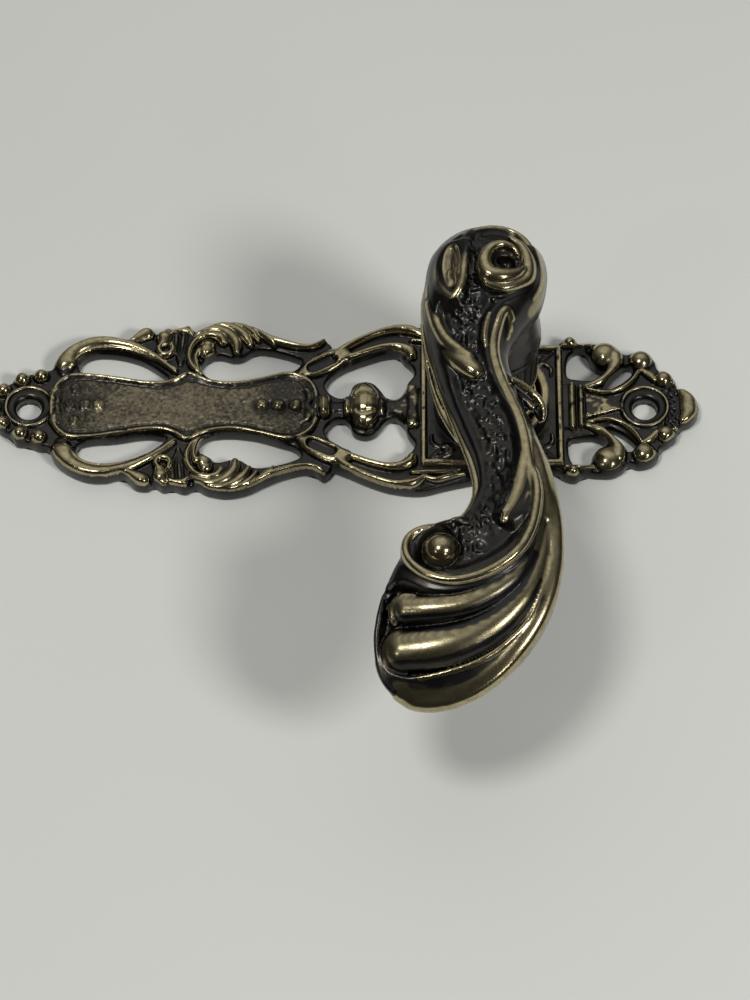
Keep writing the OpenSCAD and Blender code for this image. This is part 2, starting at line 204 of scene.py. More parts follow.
def near(points, reach):
    """The part of the plate's grid within reach of a line, with the distance to it and the way along it."""
    p = np.asarray(points)
    lo, hi = p[:, :2].min(0) - reach, p[:, :2].max(0) + reach
    i0, i1 = np.searchsorted(XS, [lo[0], hi[0]])
    j0, j1 = np.searchsorted(YS, [lo[1], hi[1]])
    where = (slice(i0, i1), slice(j0, j1))
    return where, *to_line(GX[where], GY[where], p)


def inside(points):
    """Signed distance to a closed line on the plate's grid, positive inside."""
    reach = 2.5
    where = near(points, reach)[0]
    out = np.full(GX.shape, -reach)
    out[where] = signed_distance(GX[where], GY[where], points)
    return out


def soft_max(a, b, k=0.12):
    """The higher of two surfaces, with the corner between them rounded."""
    m = np.maximum(k - np.abs(a - b), 0) / k
    return np.maximum(a, b) + m * m * k / 4


# Rounding of the openwork's edges: how wide and how deep
EDGE_ROUND = 0.7
EDGE_DROP = 0.9
# Heights above the back face: the ground of the openwork and the cartouche's panel
GROUND_LEVEL = 2.9
PANEL_LEVEL = 3.7
# A height below everything, where a tool leaves no mark
NO_MARK = -9
# Ridges are drawn by their bright crest and modelled this much broader
BROADER = 1.34


# Fixing holes, boss, bush seat, spring cavity (radius, top) and cover recess (radius, depth)
SCREW_X = [BOLTS["pos_m"][0] / MM + s * BOLTS["dims"]["spacing_x_mm"] / 2 for s in (-1, 1)]
SCREW_R = BOLTS["dims"]["hole_r_mm"]
SINK_R = 4.2
SINK_RING_R = 4.9
BLOCK_HALF = 15.1
BOSS_R = 12.25
RING_IN_R = 10.45
BOSS_TOP = PLATE[1][2]
BOSS_FLOOR = 7.4
BUSH_SEAT_R = 7.62
CAVITY = (10.4, 6.0)
RECESS = (COVER[1][0] + 0.1, 1.0)


class Relief:
    """A height above the back face at each point of the grid, built up like wax on a plate."""

    def __init__(self, level):
        self.h = level.copy()

    def ridge(self, points, width, top, low=2.6, power=0.6, broader=BROADER):
        """A rounded ridge along a curve. width and top may be one number or one per point."""
        p = np.array(points, float)
        n = len(p)
        width = np.asarray(width) * broader
        c = curve(np.column_stack([p, np.broadcast_to(width, n), np.broadcast_to(top, n)]))
        where, d, t = near(c, float(np.max(width)))
        i = np.clip(t, 0, 1) * (len(c) - 1)
        w = np.interp(i, np.arange(len(c)), c[:, 2]) / 2
        z = np.interp(i, np.arange(len(c)), c[:, 3])
        u = np.clip(1 - (d / np.maximum(w, 1e-3)) ** 2, 0, 1)
        z = np.where(u > 0, low + (z - low) * u**power, NO_MARK)
        self.h[where] = soft_max(self.h[where], z)

    def bead(self, x, y, r, top, low=2.4, squash=1.0):
        where = near([[x, y], [x + 1e-3, y]], r + 0.2)[0]
        dx, dy = (GX[where] - x), (GY[where] - y) / squash
        u = np.clip(1 - (dx**2 + dy**2) / r**2, 0, 1)
        self.h[where] = soft_max(self.h[where], np.where(u > 0, low + (top - low) * u**0.55, NO_MARK), 0.08)

    def groove(self, points, width, depth, power=1.0):
        """A groove cut along a curve."""
        p = np.array(points, float)
        n = len(p)
        c = curve(np.column_stack([p, np.broadcast_to(width, n), np.broadcast_to(depth, n)]))
        where, d, t = near(c, float(np.max(width)))
        i = np.clip(t, 0, 1) * (len(c) - 1)
        w = np.interp(i, np.arange(len(c)), c[:, 2]) / 2
        z = np.interp(i, np.arange(len(c)), c[:, 3])
        u = np.clip(1 - (d / np.maximum(w, 1e-3)) ** 2, 0, 1)
        self.h[where] -= z * u**power

    def level_in(self, signed, z, soft=0.25):
        """A flat area at height z inside a closed curve."""
        m = np.clip(signed / soft + 0.5, 0, 1)
        self.h = self.h * (1 - m) + z * m

    def sink_ring(self, x, side):
        """A low ring round a countersink, drawn from the given side."""
        half_turn = np.linspace(0, math.pi, 12)
        ring = [(x + side * SINK_RING_R * math.cos(a), SINK_RING_R * math.sin(a)) for a in half_turn]
        self.ridge(ring, 0.9, 3.7, low=2.8)

    def lathe(self, x0, x1, profile, base):
        """A half-round form turned about the plate's long axis: x, radius and height above base."""
        rows = np.array(profile, float)
        m = (GX >= x0) & (GX <= x1)
        radius = np.interp(GX, rows[:, 0], rows[:, 1])
        bulge = np.sqrt(np.clip(1 - (GY / np.maximum(radius, 1e-3)) ** 2, 0, 1))
        z = np.where(GY < radius, base + np.interp(GX, rows[:, 0], rows[:, 2]) * bulge, NO_MARK)
        self.h[m] = np.maximum(self.h[m], z[m])


OUTLINE = [
    (-107.5, 0), (-106.6, 2.6), (-105, 5.2), (-102.4, 6.8), (-101, 8.6), (-98.4, 8.9), (-96.2, 9.9),
    (-94.2, 10.1), (-92.8, 13), (-90, 15.7), (-86, 17.7), (-82, 18), (-78.2, 17.2), (-75.4, 19.7),
    (-73, 20.1), (-71.4, 19.2), (-69.4, 20.4), (-67.6, 19.9), (-65, 20.8), (-62.6, 19.8), (-60, 21.2),
    (-56, 21.9), (-51.8, 21), (-48, 18.9), (-44, 17), (-40, 15.9), (-37.8, 16.2), (-35.8, 17.6),
    (-34.4, 16.6), (-33.6, 15.4), (-31, 16.4), (-26, 18.9), (-21, 20.7), (-15, 21.2), (-9, 19.6),
    (0, 17.6), (9, 16), (13.6, 16.1), (15.2, 17.3), (17.4, 18), (19.6, 16.6), (22.4, 16.8), (25.4, 16.7),
    (27.6, 15.4), (29, 14), (31, 14.6), (33.4, 14.1), (35.2, 12.4), (35.8, 10.2), (37.6, 8.9),
    (39.2, 7.4), (40, 5), (42.2, 3.8), (43.8, 1.9), (44.3, 0),
]
GAP_CARTOUCHE = [
    (-88.2, 11), (-87, 13), (-84.4, 14.1), (-80.6, 14), (-76.6, 13), (-73, 11.2), (-69.4, 8),
    (-71.4, 6.9), (-75, 7), (-80, 7.9), (-85, 8.4), (-87.6, 9.2),
]
GAP_LEAF = [
    (-62.2, 10.6), (-60.6, 13), (-58, 13.7), (-55.4, 13), (-53.4, 13.2), (-51, 14.8), (-49, 15.1),
    (-45.4, 14.4), (-42, 13.2), (-40.6, 12), (-42, 10), (-45, 8.9), (-50, 7.3), (-55, 6.6), (-59.4, 7),
    (-61.8, 8.6),
]
GAP_VASE = [
    (-35.4, 6.2), (-34, 8.4), (-31, 10.6), (-27, 12.4), (-23, 13.9), (-20, 14.1), (-18.6, 12.4),
    (-17, 10.8), (-16.5, 8.8), (-17.8, 6.6), (-18.6, 4.2), (-20.4, 2.4), (-22.4, 3), (-23.8, 5),
    (-25.2, 6.5), (-27.2, 7), (-29.4, 6), (-30.4, 3.6), (-32, 2.7), (-33.6, 3.2), (-35, 4.6),
]
GAP_SCROLL = [
    (16.4, 8.4), (18.6, 7.5), (21.4, 7.3), (23.5, 8.2), (24.2, 9.6), (22.7, 10.4), (21.4, 12),
    (20.8, 14), (19.6, 15.1), (17.8, 14.8), (16.5, 12.6),
]
GAP_SLOT = [(24, 5.1), (25.6, 5.2), (28, 6.6), (30, 8.6), (30.4, 10.4), (28.8, 10.9), (27.2, 9.2), (25, 6.8)]
CARTOUCHE = [
    (-93.9, 0), (-93.6, 3.6), (-92, 6.4), (-89.6, 7.8), (-85, 7.8), (-80, 7), (-75, 6.1), (-71, 5.8),
    (-68, 6.5), (-65, 8.3), (-62.4, 7.3), (-60, 6.3), (-57, 5.8), (-53.6, 5.9), (-49, 7), (-44, 8.2),
    (-41, 7.7), (-38.6, 5.9), (-37.5, 3.2), (-37.6, 0),
]


def plate_outline():
    """Signed distance to the openwork's edge, positive in the metal."""
    top = curve(OUTLINE)
    whole = np.vstack([top, top[::-1][1:-1] * [1, -1]])
    d = inside(whole)
    for gap in (GAP_CARTOUCHE, GAP_LEAF, GAP_VASE, GAP_SCROLL, GAP_SLOT):
        d = np.minimum(d, -inside(closed(gap)))
    return d


def plate_relief():
    """The ornament of the plate's upper half, from its lower end to its upper end."""
    r = Relief(np.full(GX.shape, GROUND_LEVEL))
    # ---- lower end, with beads round the screw hole
    for x, y, rad in ((-106, 0, 1.7), (-104.3, 4.2, 2.0), (-100.4, 6.9, 2.0), (-96.3, 7.8, 1.9)):
        r.bead(x, y, rad, 4.9)
    r.sink_ring(SCREW_X[0], 1)
    # ---- scroll beside the cartouche
    r.ridge([(-91.3, 9.2), (-91.2, 11), (-90.2, 13.6), (-87.4, 15.8), (-83.6, 16.8), (-79.6, 16.4),
             (-75.6, 14.9), (-71.6, 12.4), (-67.6, 8.8)],
            [2.6, 4, 3.2, 2.9, 2.6, 2.4, 2, 1.5, 0.8], [3.6, 4.5, 4.6, 4.6, 4.6, 4.6, 4.5, 4.3, 4], power=0.5)
    r.ridge([(-89.9, 10.4), (-88.8, 12.2), (-87, 14), (-84, 15), (-80, 15), (-76, 13.9), (-72, 11.9)],
            [0.9, 0.8, 0.8, 0.8, 0.8, 0.7, 0.5], 4, low=3)
    # ---- fan between the two scrolls
    r.ridge([(-79, 16.4), (-77, 17.2), (-75.6, 18), (-74.2, 18.9)], [1.2, 2, 2.8, 3.3], [4, 4.3, 4.5, 4.7])
    r.ridge([(-68.6, 16), (-68.3, 14.4), (-69.2, 13.3), (-70.6, 13.4), (-71.3, 14.6), (-70.8, 15.8)],
            [1.1, 1.4, 1.5, 1.5, 1.3, 1], 4.4)
    r.ridge([(-70.4, 16.4), (-70.1, 18), (-69.6, 19.3)], [2.2, 3, 2.2], [4.4, 4.7, 4.1], power=0.5)
    r.ridge([(-68.4, 19), (-67.2, 19.6), (-65.4, 19.5), (-64.4, 18.6)], [1, 1.8, 2, 1.2], 4.3)
    for x0, x1 in ((-67.4, -67.6), (-66.4, -66), (-65.6, -64.6)):
        r.ridge([(-66.6, 10.6), ((x0 + x1) / 2 - 0.1, 15), (x1, 18.6)], [0.5, 0.8, 1.1],
                [3.5, 3.6, 3.7], low=3)
    r.bead(-65.2, 20, 0.95, 4.5)
    r.ridge([(-76.6, 15.6), (-73, 14), (-70, 11.6), (-67.4, 9.4)], [0.6, 0.9, 0.9, 0.6], 3.9, low=3)
    # ---- leaf scroll
    r.ridge([(-60.8, 15.6), (-61.4, 14.2), (-62.6, 13.9)], [2.6, 3.6, 2], [4.5, 4.8, 4.3], power=0.5)
    r.ridge([(-62.7, 14.2), (-63.3, 12.4), (-62.9, 10.2), (-61.4, 8.4), (-59, 7)],
            [1.4, 1.2, 1.2, 1, 0.6], [4.4, 4.4, 4.3, 4.2, 4])
    r.ridge([(-57.4, 16.5), (-58.4, 17.9), (-60.6, 18.3), (-63, 17.2), (-64.5, 14.8), (-64.7, 12),
            (-63.6, 9.6), (-61.8, 8.2)], [1.9, 2, 1.6, 1.4, 1.3, 1.2, 1, 0.7],
            [4.5, 4.7, 4.6, 4.5, 4.4, 4.3, 4.2, 4])
    r.ridge([(-64, 17.6), (-62, 19.2), (-59, 19.8), (-56.4, 18.6), (-54.8, 16.4), (-54.5, 14)],
            [0.8, 1.5, 2.1, 2.4, 2.4, 1.5], [3.8, 4.4, 4.6, 4.7, 4.6, 4.1])
    r.ridge([(-61, 20.4), (-58, 21), (-55, 20), (-52.8, 18), (-51.6, 15.8)],
            [0.9, 1.6, 2, 2.1, 1.3], [4, 4.4, 4.6, 4.6, 4.1])
    r.ridge([(-56.4, 21.4), (-53.6, 20.8), (-51.2, 19), (-49.9, 16.9)], [0.9, 1.4, 1.6, 1],
            [4, 4.4, 4.5, 4.1])
    r.ridge([(-51.6, 20.4), (-49, 18.6), (-47, 16.9), (-46.4, 15.7)], [1, 1.9, 1.8, 0.9],
            [4.1, 4.5, 4.5, 4.1])
    r.ridge([(-49.4, 18.4), (-46, 17), (-42, 15.8), (-38.8, 15.5), (-36.9, 16.2), (-35.8, 17)],
            [0.9, 1.9, 1.9, 1.6, 1.6, 0.9], [4.2, 4.6, 4.5, 4.5, 4.5, 4.2])
    # ---- cartouche: a rim round a sunken, grained panel
    rim = curve(CARTOUCHE)
    panel = inside(np.vstack([rim, rim[::-1][1:-1] * [1, -1]]))
    r.level_in(panel, PANEL_LEVEL)
    r.ridge([tuple(p) for p in CARTOUCHE], 1.3, 4.1, low=3.2, power=0.6, broader=1)
    r.groove([(-92.4, 0), (-92.2, 3.4), (-90.8, 5.8), (-88.6, 6.7), (-84, 6.5), (-79, 5.7), (-74, 4.9),
            (-70.6, 4.6), (-67.4, 5.4), (-64.8, 6.6), (-62, 5.7), (-59.6, 5), (-56, 4.6), (-52, 4.9),
            (-47.4, 6.2), (-43.6, 6.9), (-41, 6.2), (-39.6, 4.6)], 0.9, 0.3)
    for x in (-89.8, -86.6, -83.8):
        r.bead(x, 0, 1.75, 4.4, low=3.3, squash=1.1)
    for x in (-49, -45.5, -41.7):
        where, dd, _ = near([[x, 0], [x + 1e-3, 0]], 2.4)
        r.h[where] -= 0.3 * np.clip(1 - (dd / 2.3) ** 4, 0, 1)
        r.bead(x, 0, 1.7, 4.7, low=3.2)
    r.bead(-88.8, 4.2, 1.3, 4.35, low=3.4, squash=1.4)
    r.ridge([(-92.7, 0), (-92.5, 1.6), (-92.9, 3.4)], [1.3, 1.5, 2.4], [4.4, 4.4, 4.3], low=3.4)
    r.ridge([(-39.6, 0), (-38.6, 1.6), (-39.2, 3.4), (-40.6, 4.1)], [1.6, 2, 1.8, 0.8],
            [4.3, 4.5, 4.4, 4], low=3.2)
    # ---- ribbon between the leaf and the block
    r.ridge([(-40.6, 8.2), (-38.6, 9.4), (-36, 11), (-33.4, 12.4), (-31.4, 12.9)], [2, 3.4, 4.2, 4, 3],
            [3.9, 4.3, 4.4, 4.5, 4.6], power=0.35)
    r.groove([(-38.2, 9.7), (-34.2, 11.8)], [2.7, 2.7], 1.2, power=0.25)
    r.ridge([(-33.2, 13.2), (-31.4, 14.9), (-28.4, 17), (-24.6, 18.9), (-20.6, 20), (-17, 19.7),
             (-14.6, 18.2)], [1.7, 1.7, 1.7, 1.8, 2, 2, 1.3], [4.6, 4.6, 4.6, 4.7, 4.7, 4.6, 4.2], power=0.5)
    r.ridge([(-32.2, 11.7), (-29.4, 13), (-26, 14.4), (-22.4, 15.4), (-19.6, 15.3), (-17.6, 14.3), (-17, 13)],
            [1.4, 1.4, 1.4, 1.5, 2, 2.4, 1.8], [4.5, 4.4, 4.4, 4.5, 4.6, 4.7, 4.5], power=0.5)
    r.ridge([(-14.6, 18), (-12, 18.8), (-9, 18), (-6, 17.4)], [1, 1.3, 1.3, 0.8], [4.2, 4.3, 4.3, 4.1])
    r.ridge([(-17, 17), (-14, 16.8), (-11, 16.8), (-7, 16.4)], [0.8, 1.1, 1, 0.7], [4, 4.1, 4.1, 4])
    # ---- vase on the axis
    r.lathe(-37.2, -34, [(-37.2, 2.2, 0.4), (-36.8, 3, 2), (-35.8, 3.3, 2.5), (-34.8, 3, 2),
                         (-34, 2, 0.4)], 2.6)
    r.lathe(-34, -22, [(-34, 1.5, 0.8), (-32.6, 1.4, 0.8), (-31.6, 1.6, 1), (-31.5, 2.4, 1.6),
            (-30.9, 2.8, 2.2), (-30.2, 2.6, 1.8), (-29.9, 3.4, 2.2), (-29.2, 5, 3), (-28, 6, 3.6),
            (-26.8, 6.3, 3.7), (-25.4, 5.6, 3.3), (-24.4, 4, 2.6), (-23.9, 2.8, 1.6), (-23.4, 3, 1.9),
            (-22.7, 2.6, 1.4), (-22, 1.9, 0.9)], 2.6)
    r.lathe(-22, -15, [(-22, 1.9, 0.9), (-20.6, 1.7, 0.9), (-19.2, 2.4, 1), (-18, 4.2, 1.1),
                       (-15, 5, 1.1)], 2.8)
    m = (GX > -29.6) & (GX < -24.2)
    rad = np.interp(GX, [-29.6, -28, -26.8, -24.2], [3.4, 6, 6.2, 4])
    a = np.arcsin(np.clip(GY / rad, 0, 1))
    lobe = np.abs(np.cos(3.5 * a))
    fade = np.clip(np.minimum(GX + 29.8, -24 - GX) / 1.2, 0, 1)
    r.h = np.where(m, r.h - 0.55 * fade * (1 - lobe) ** 2 * (GY < rad), r.h)
    # ---- bar against the block
    r.ridge([(-16.8, 0), (-16.8, 4.2)], 2.2, 4.4, power=0.3)
    # ---- square block with a frame and a sunken panel
    frame_width, frame_top, sunken = 1.05, 4.55, 3.5
    b = np.minimum(BLOCK_HALF - np.abs(GX), BLOCK_HALF + 0.1 - GY)
    face = np.where(b > 0, frame_top - 0.25 * np.clip(1 - b / 0.25, 0, 1) ** 2, NO_MARK)
    sunk = np.clip((b - frame_width) / 0.22, 0, 1)
    floor = np.where(b > frame_width, sunken, r.h * 0)
    r.h = np.where(b > 0, np.maximum(face - 0.95 * sunk, floor), r.h)
    corner = [(12.6, 13), (10.6, 13), (8.6, 11.6), (9.6, 10.2), (11.4, 10.6), (12.8, 9.4), (12.8, 7.6)]
    for s in (1, -1):
        r.ridge([(s * x, y) for x, y in corner], [0.6, 1, 1.1, 1, 1, 0.9, 0.5], 4, low=3.3)
        r.ridge([(s * 13.2, 13.6), (s * 11, 11.6)], [0.7, 1.2], 4, low=3.3)
    # ---- bars and keystone beyond the block
    r.level_in(np.minimum(np.minimum(GX - BLOCK_HALF, 17.9 - GX), 5.6 - GY), PANEL_LEVEL)
    r.ridge([(17.2, 0), (17.2, 5.4)], 1.1, 4.4, low=3.6)
    r.ridge([(19.1, 0), (19.1, 4.9)], 0.9, 4.3, low=3.4)
    key = np.minimum(np.minimum(GX - 20, 27.6 - GX), np.interp(GX, [20, 27.6], [3.1, 0.9]) - GY)
    r.level_in(key, 3.9)
    # ---- scrolls and beads round the upper screw hole
    r.ridge([(20.4, 4.3), (23, 3.6), (25.4, 3.5), (28, 4.6), (30.2, 6.6), (31.6, 9)],
            [0.8, 1, 1, 1.1, 1.1, 0.8], 4.2)
    r.ridge([(20.2, 4.9), (22.8, 6), (25.3, 8), (26.6, 10.6), (26.4, 12.8)],
            [1.3, 1.8, 2.4, 2.9, 3.2], [4.2, 4.4, 4.5, 4.6, 4.7], power=0.5)
    r.bead(24.5, 13.4, 3.4, 5.05)
    r.ridge([(15.6, 15.6), (17.6, 15.6), (19.6, 15.5), (21.4, 15.6)], [1, 1, 1, 0.7], 4.2)
    r.bead(17, 16.5, 1.7, 4.7)
    r.bead(32.2, 11.9, 2.75, 5)
    r.bead(36.9, 7.1, 2.3, 4.8)
    r.bead(39, 5.8, 0.9, 4.2)
    r.sink_ring(SCREW_X[1], -1)
    for turn in (0.08, 0.3, 0.52, 0.75):
        spoke = [(SCREW_X[1] + reach * math.cos(turn), reach * math.sin(turn))
                 for reach in (5.9, 6.8, 7.6)]
        r.ridge(spoke, [0.6, 0.9, 0.6], 3.5, low=2.9)
    r.ridge([(32.4, 9.2), (34, 8), (35, 6.6)], [1.2, 1.4, 1], 4, low=3.2)
    r.ridge([(38, 3.6), (39.4, 2), (39.6, 0)], [0.7, 0.9, 0.9], 3.5, low=3)
    r.ridge([(42, 0), (41.9, 1.8), (41, 3.6)], [3.2, 3.0, 2.2], [4.7, 4.6, 4.2], power=0.5)
    return r, panel


# ------------------------------------------------------------------ the backplate's mesh

# How rubbed the walls and the boss's ring are
WALL_TONE = 0.05
RING_TONE = 0.8


def both_halves(half):
    """The grid of the upper half, mirrored into the whole plate."""
    return np.concatenate([half[:, :0:-1], half], axis=1)


def fill_corners(cell):
    """Fills cells so that no two meet at a corner only."""
    for _ in range(3):
        a, b, c, d = cell[:-1, :-1], cell[1:, :-1], cell[:-1, 1:], cell[1:, 1:]
        one = a & d & ~b & ~c
        two = b & c & ~a & ~d
        cell[1:, :-1] |= one
        cell[:-1, :-1] |= two
    return cell


def boundary_loops(cell, index):
    """Closed loops of vertex numbers round the filled cells, the metal on their left."""
    wide = np.pad(cell, 1)
    inner = wide[1:-1, 1:-1]
    low, high = index[:-1, :-1], index[1:, 1:]
    right, up = index[1:, :-1], index[:-1, 1:]
    sides = (
        (inner & ~wide[1:-1, :-2], low, right), (inner & ~wide[2:, 1:-1], right, high),
        (inner & ~wide[1:-1, 2:], high, up), (inner & ~wide[:-2, 1:-1], up, low),
    )
    after = {}
    for mask, start, end in sides:
        after.update(zip(start[mask].tolist(), end[mask].tolist()))
    loops = []
    while after:
        first, nxt = after.popitem()
        loop = [first]
        while nxt != first:
            loop.append(nxt)
            nxt = after.pop(nxt)
        loops.append(np.array(loop))
    return loops


def wall(points, loop, rings):
    """Vertices and quads of a wall that drops from a loop through the given rings of points."""
    n = len(loop)
    first = len(points)
    rows = [loop] + [first + k * n + np.arange(n) for k in range(len(rings))]
    faces = [np.column_stack([a, b, np.roll(b, -1), np.roll(a, -1)]) for a, b in zip(rows[:-1], rows[1:])]
    return np.vstack([points] + list(rings)), np.vstack(faces), rows[-1]


def round_rings(points, loop, centre_x, profile):
    """Rings turned about a vertical axis, at the same angles as a loop's vertices."""
    away = points[loop][:, :2] - [centre_x, 0]
    away /= np.linalg.norm(away, axis=1)[:, None]
    return [np.column_stack([away * r + [centre_x, 0], np.full(len(loop), z)]) for r, z in profile]


def back_face(points, loops, signed):
    """Triangles between the lowest rings, leaving out those that lie in an opening."""
    order = np.concatenate(loops)
    edges, start = [], 0
    for loop in loops:
        n = len(loop)
        edges += [(start + i, start + (i + 1) % n) for i in range(n)]
        start += n
    flat = [Vector(p) for p in points[order][:, :2].tolist()]
    found = delaunay_2d_cdt(flat, edges, [], 1, 1e-6, True)
    corners = np.array([v[:] for v in found[0]])
    tris = np.array(found[2])
    places = corners[tris]
    between = [places.mean(1)] + [(places[:, k] + places[:, k - 1]) / 2 for k in range(3)]
    keep = np.min([signed(p) for p in between], axis=0) > 0
    source = np.array([order[o[0]] if o else -1 for o in found[3]])
    tris = source[tris[keep]]
    return tris[(tris >= 0).all(1)][:, ::-1]


def plate_wear(height, edge_d, field, gx, gy):
    """How rubbed each place of the plate is, and where the panel is stippled."""
    raised = 0.08 + 0.62 * smooth_step(height, 3.25, 3.95)
    open_h = np.where(edge_d > 0, height, 2.2)
    raised = raised + 0.9 * (height - blurred(open_h, 1)) + 0.35 * (height - blurred(open_h, 4))
    # patchy, duller frame of the block, stem on the axis and rim of the cartouche
    sides = np.array([XS[-1] - XS[0], 2 * HALF])
    patchy = sum(lattice_noise(gx.shape, (sides / cell_mm).astype(int), 7) - 0.5
                 for cell_mm in (1.3, 0.6)) / 1.3
    block = np.maximum(np.abs(gx), np.abs(gy))
    raised = raised + (0.6 * patchy - 0.22) * (block < 15.3) - 0.22 * (block < 13.9)
    stem = (np.abs(gy) < 5.4) & (gx > -24) & (gx < 28)
    raised = raised + (0.6 * patchy - 0.3) * stem * (block > 15.3)
    rim = smooth_step(field, -1.4, -0.9) * (1 - smooth_step(field, 0.9, 1.3))
    raised = raised + (0.7 * patchy - 0.2) * rim
    # the panel is rubbed in the middle and dark at its ends
    raised = raised - 0.35 * smooth_step(np.abs(gx + 66), 10, 24) * (field > 0.8)
    stipple = smooth_step(field, 0.9, 1.5) * (1 - smooth_step(height, 3.95, 4.25))
    return raised, stipple


def plate_mesh():
    """The whole plate: relief on top, walls, countersinks, boss, cavity and back face."""
    openwork = plate_outline()
    relief, panel = plate_relief()
    height = both_halves(relief.h)
    edge_d = both_halves(openwork)
    ys = np.concatenate([-YS[:0:-1], YS])
    gx, gy = np.meshgrid(XS, ys, indexing="ij")
    holes = np.minimum.reduce([np.hypot(gx, gy) - BOSS_R] + [np.hypot(gx - x, gy) - SINK_R for x in SCREW_X])
    d = np.minimum(edge_d, holes)
    rounding = 1 - np.clip(edge_d / EDGE_ROUND, 0, 1)
    height = height - EDGE_DROP * (1 - np.sqrt(1 - rounding**2))
    height = height + plate_grain(gx, gy, both_halves(panel))

    cell = fill_corners((d[:-1, :-1] + d[1:, :-1] + d[:-1, 1:] + d[1:, 1:]) > 0)
    used = np.zeros(d.shape, bool)
    for part in (used[:-1, :-1], used[1:, :-1], used[:-1, 1:], used[1:, 1:]):
        part |= cell
    index = np.full(d.shape, -1)
    index[used] = np.arange(used.sum())
    loops = boundary_loops(cell, index)

    at = np.argwhere(used).astype(float)
    slope = np.gradient(d, PITCH)
    for loop in loops:
        for _ in range(4):
            here = sampled(d, at[loop])
            g = np.column_stack([sampled(s, at[loop]) for s in slope])
            push = here[:, None] * g / (np.sum(g * g, axis=1)[:, None] + 1e-6) / PITCH
            at[loop] -= np.clip(push, -0.6, 0.6)
    xy = np.column_stack([XS[0] + at[:, 0] * PITCH, ys[0] + at[:, 1] * PITCH])
    points = np.column_stack([xy, sampled(height, at)])
    i, j = np.nonzero(cell)
    quads = np.column_stack([index[i, j], index[i + 1, j], index[i + 1, j + 1], index[i, j + 1]])

    raised, stipple = (sampled(mask, at) for mask in plate_wear(height, edge_d, both_halves(panel), gx, gy))
    top_count = len(points)

    faces = [quads]
    lowest = []
    for loop in loops:
        centre = points[loop][:, :2].mean(0)
        reach = np.hypot(*(points[loop][:, :2] - centre).T)
        is_round = reach.std() < 0.15 and abs(centre[1]) < 0.5
        if is_round and reach.mean() > 10:
            profile = boss_profile()
            rings = round_rings(points, loop, 0, profile)
        elif is_round and reach.mean() < SINK_R + 0.5:
            x = min(SCREW_X, key=lambda s: abs(s - centre[0]))
            rings = round_rings(points, loop, x,
                                [(SINK_R - 0.1, 3.75), (SCREW_R + 0.1, 2.35), (SCREW_R, 2.2), (SCREW_R, 0)])
        else:
            rings = side_rings(points, loop)
        points, side, last = wall(points, loop, rings)
        faces.append(side)
        lowest.append(last)
    top_faces = sum(len(f) for f in faces)

    def metal(p):
        cells = np.column_stack([(p[:, 0] - XS[0]) / PITCH, (p[:, 1] - ys[0]) / PITCH])
        out = sampled(edge_d, cells)
        out = np.minimum(out, np.hypot(p[:, 0], p[:, 1]) - RECESS[0] + 0.05)
        for x in SCREW_X:
            out = np.minimum(out, np.hypot(p[:, 0] - x, p[:, 1]) - SCREW_R + 0.05)
        return out

    faces.append(back_face(points, lowest, metal))
    rest = len(points) - top_count
    raised = np.concatenate([raised, np.full(rest, WALL_TONE)])
    raised[points[:, 2] > BOSS_TOP - 0.45] = RING_TONE
    stipple = np.concatenate([stipple, np.zeros(rest)])
    return points, faces, top_faces, {"raised": np.clip(raised, 0, 1), "stipple": stipple}


def side_rings(points, loop):
    """Rings of the cast side wall, with a small bevel at the back edge."""
    p = points[loop]
    ahead = np.roll(p, -3, axis=0)[:, :2] - np.roll(p, 3, axis=0)[:, :2]
    inward = np.column_stack([-ahead[:, 1], ahead[:, 0]])
    inward /= np.linalg.norm(inward, axis=1)[:, None] + 1e-9
    rings = []
    for share, inset in ((0.6, 0.02), (0.3, 0.04), (0.12, 0.08), (0, 0.3)):
        rings.append(np.column_stack([p[:, :2] + inward * inset, p[:, 2] * share]))
    return rings


def boss_profile():
    """The turned boss, from its foot on the block over the ring and into the cavity behind."""
    ring_w = BOSS_R - RING_IN_R
    profile = [(BOSS_R, 4.2), (BOSS_R, 5.5), (BOSS_R, 7), (BOSS_R, BOSS_TOP - 0.5),
               (BOSS_R - 0.12, BOSS_TOP - 0.14), (BOSS_R - 0.4, BOSS_TOP)]
    profile += [(BOSS_R - 0.4 - (ring_w - 0.6) * k / 4, BOSS_TOP) for k in range(1, 5)]
    profile += [(RING_IN_R, BOSS_TOP - 0.2), (RING_IN_R, BOSS_FLOOR), (BUSH_SEAT_R, BOSS_FLOOR)]
    profile += [(BUSH_SEAT_R, CAVITY[1]), (CAVITY[0] - 0.3, CAVITY[1]), (CAVITY[0], CAVITY[1] - 0.3)]
    profile += [(CAVITY[0], RECESS[1]), (RECESS[0], RECESS[1]), (RECESS[0], 0)]
    return profile


def plate_grain(gx, gy, panel):
    """Fine unevenness of the casting, and the punched ground of the sunken panel."""
    shape = gx.shape
    size = np.array([gx[-1, 0] - gx[0, 0], gy[0, -1] - gy[0, 0]])
    cast = lattice_noise(shape, (size / 1.7).astype(int), 5) - 0.5
    sand = lattice_noise(shape, (size / 0.55).astype(int), 6) - 0.5
    inner = smooth_step(panel, 0.9, 1.3)
    return 0.07 * cast + 0.05 * sand + inner * 0.22 * sand


# ------------------------------------------------------------------ the lever as a sculpted solid

CLAY = 0.3
CLAY_LOW = np.array([-26.5, -96.5, 26.2])
CLAY_HIGH = np.array([14.0, 12.2, 62.6])
ARM_Z = 50.5
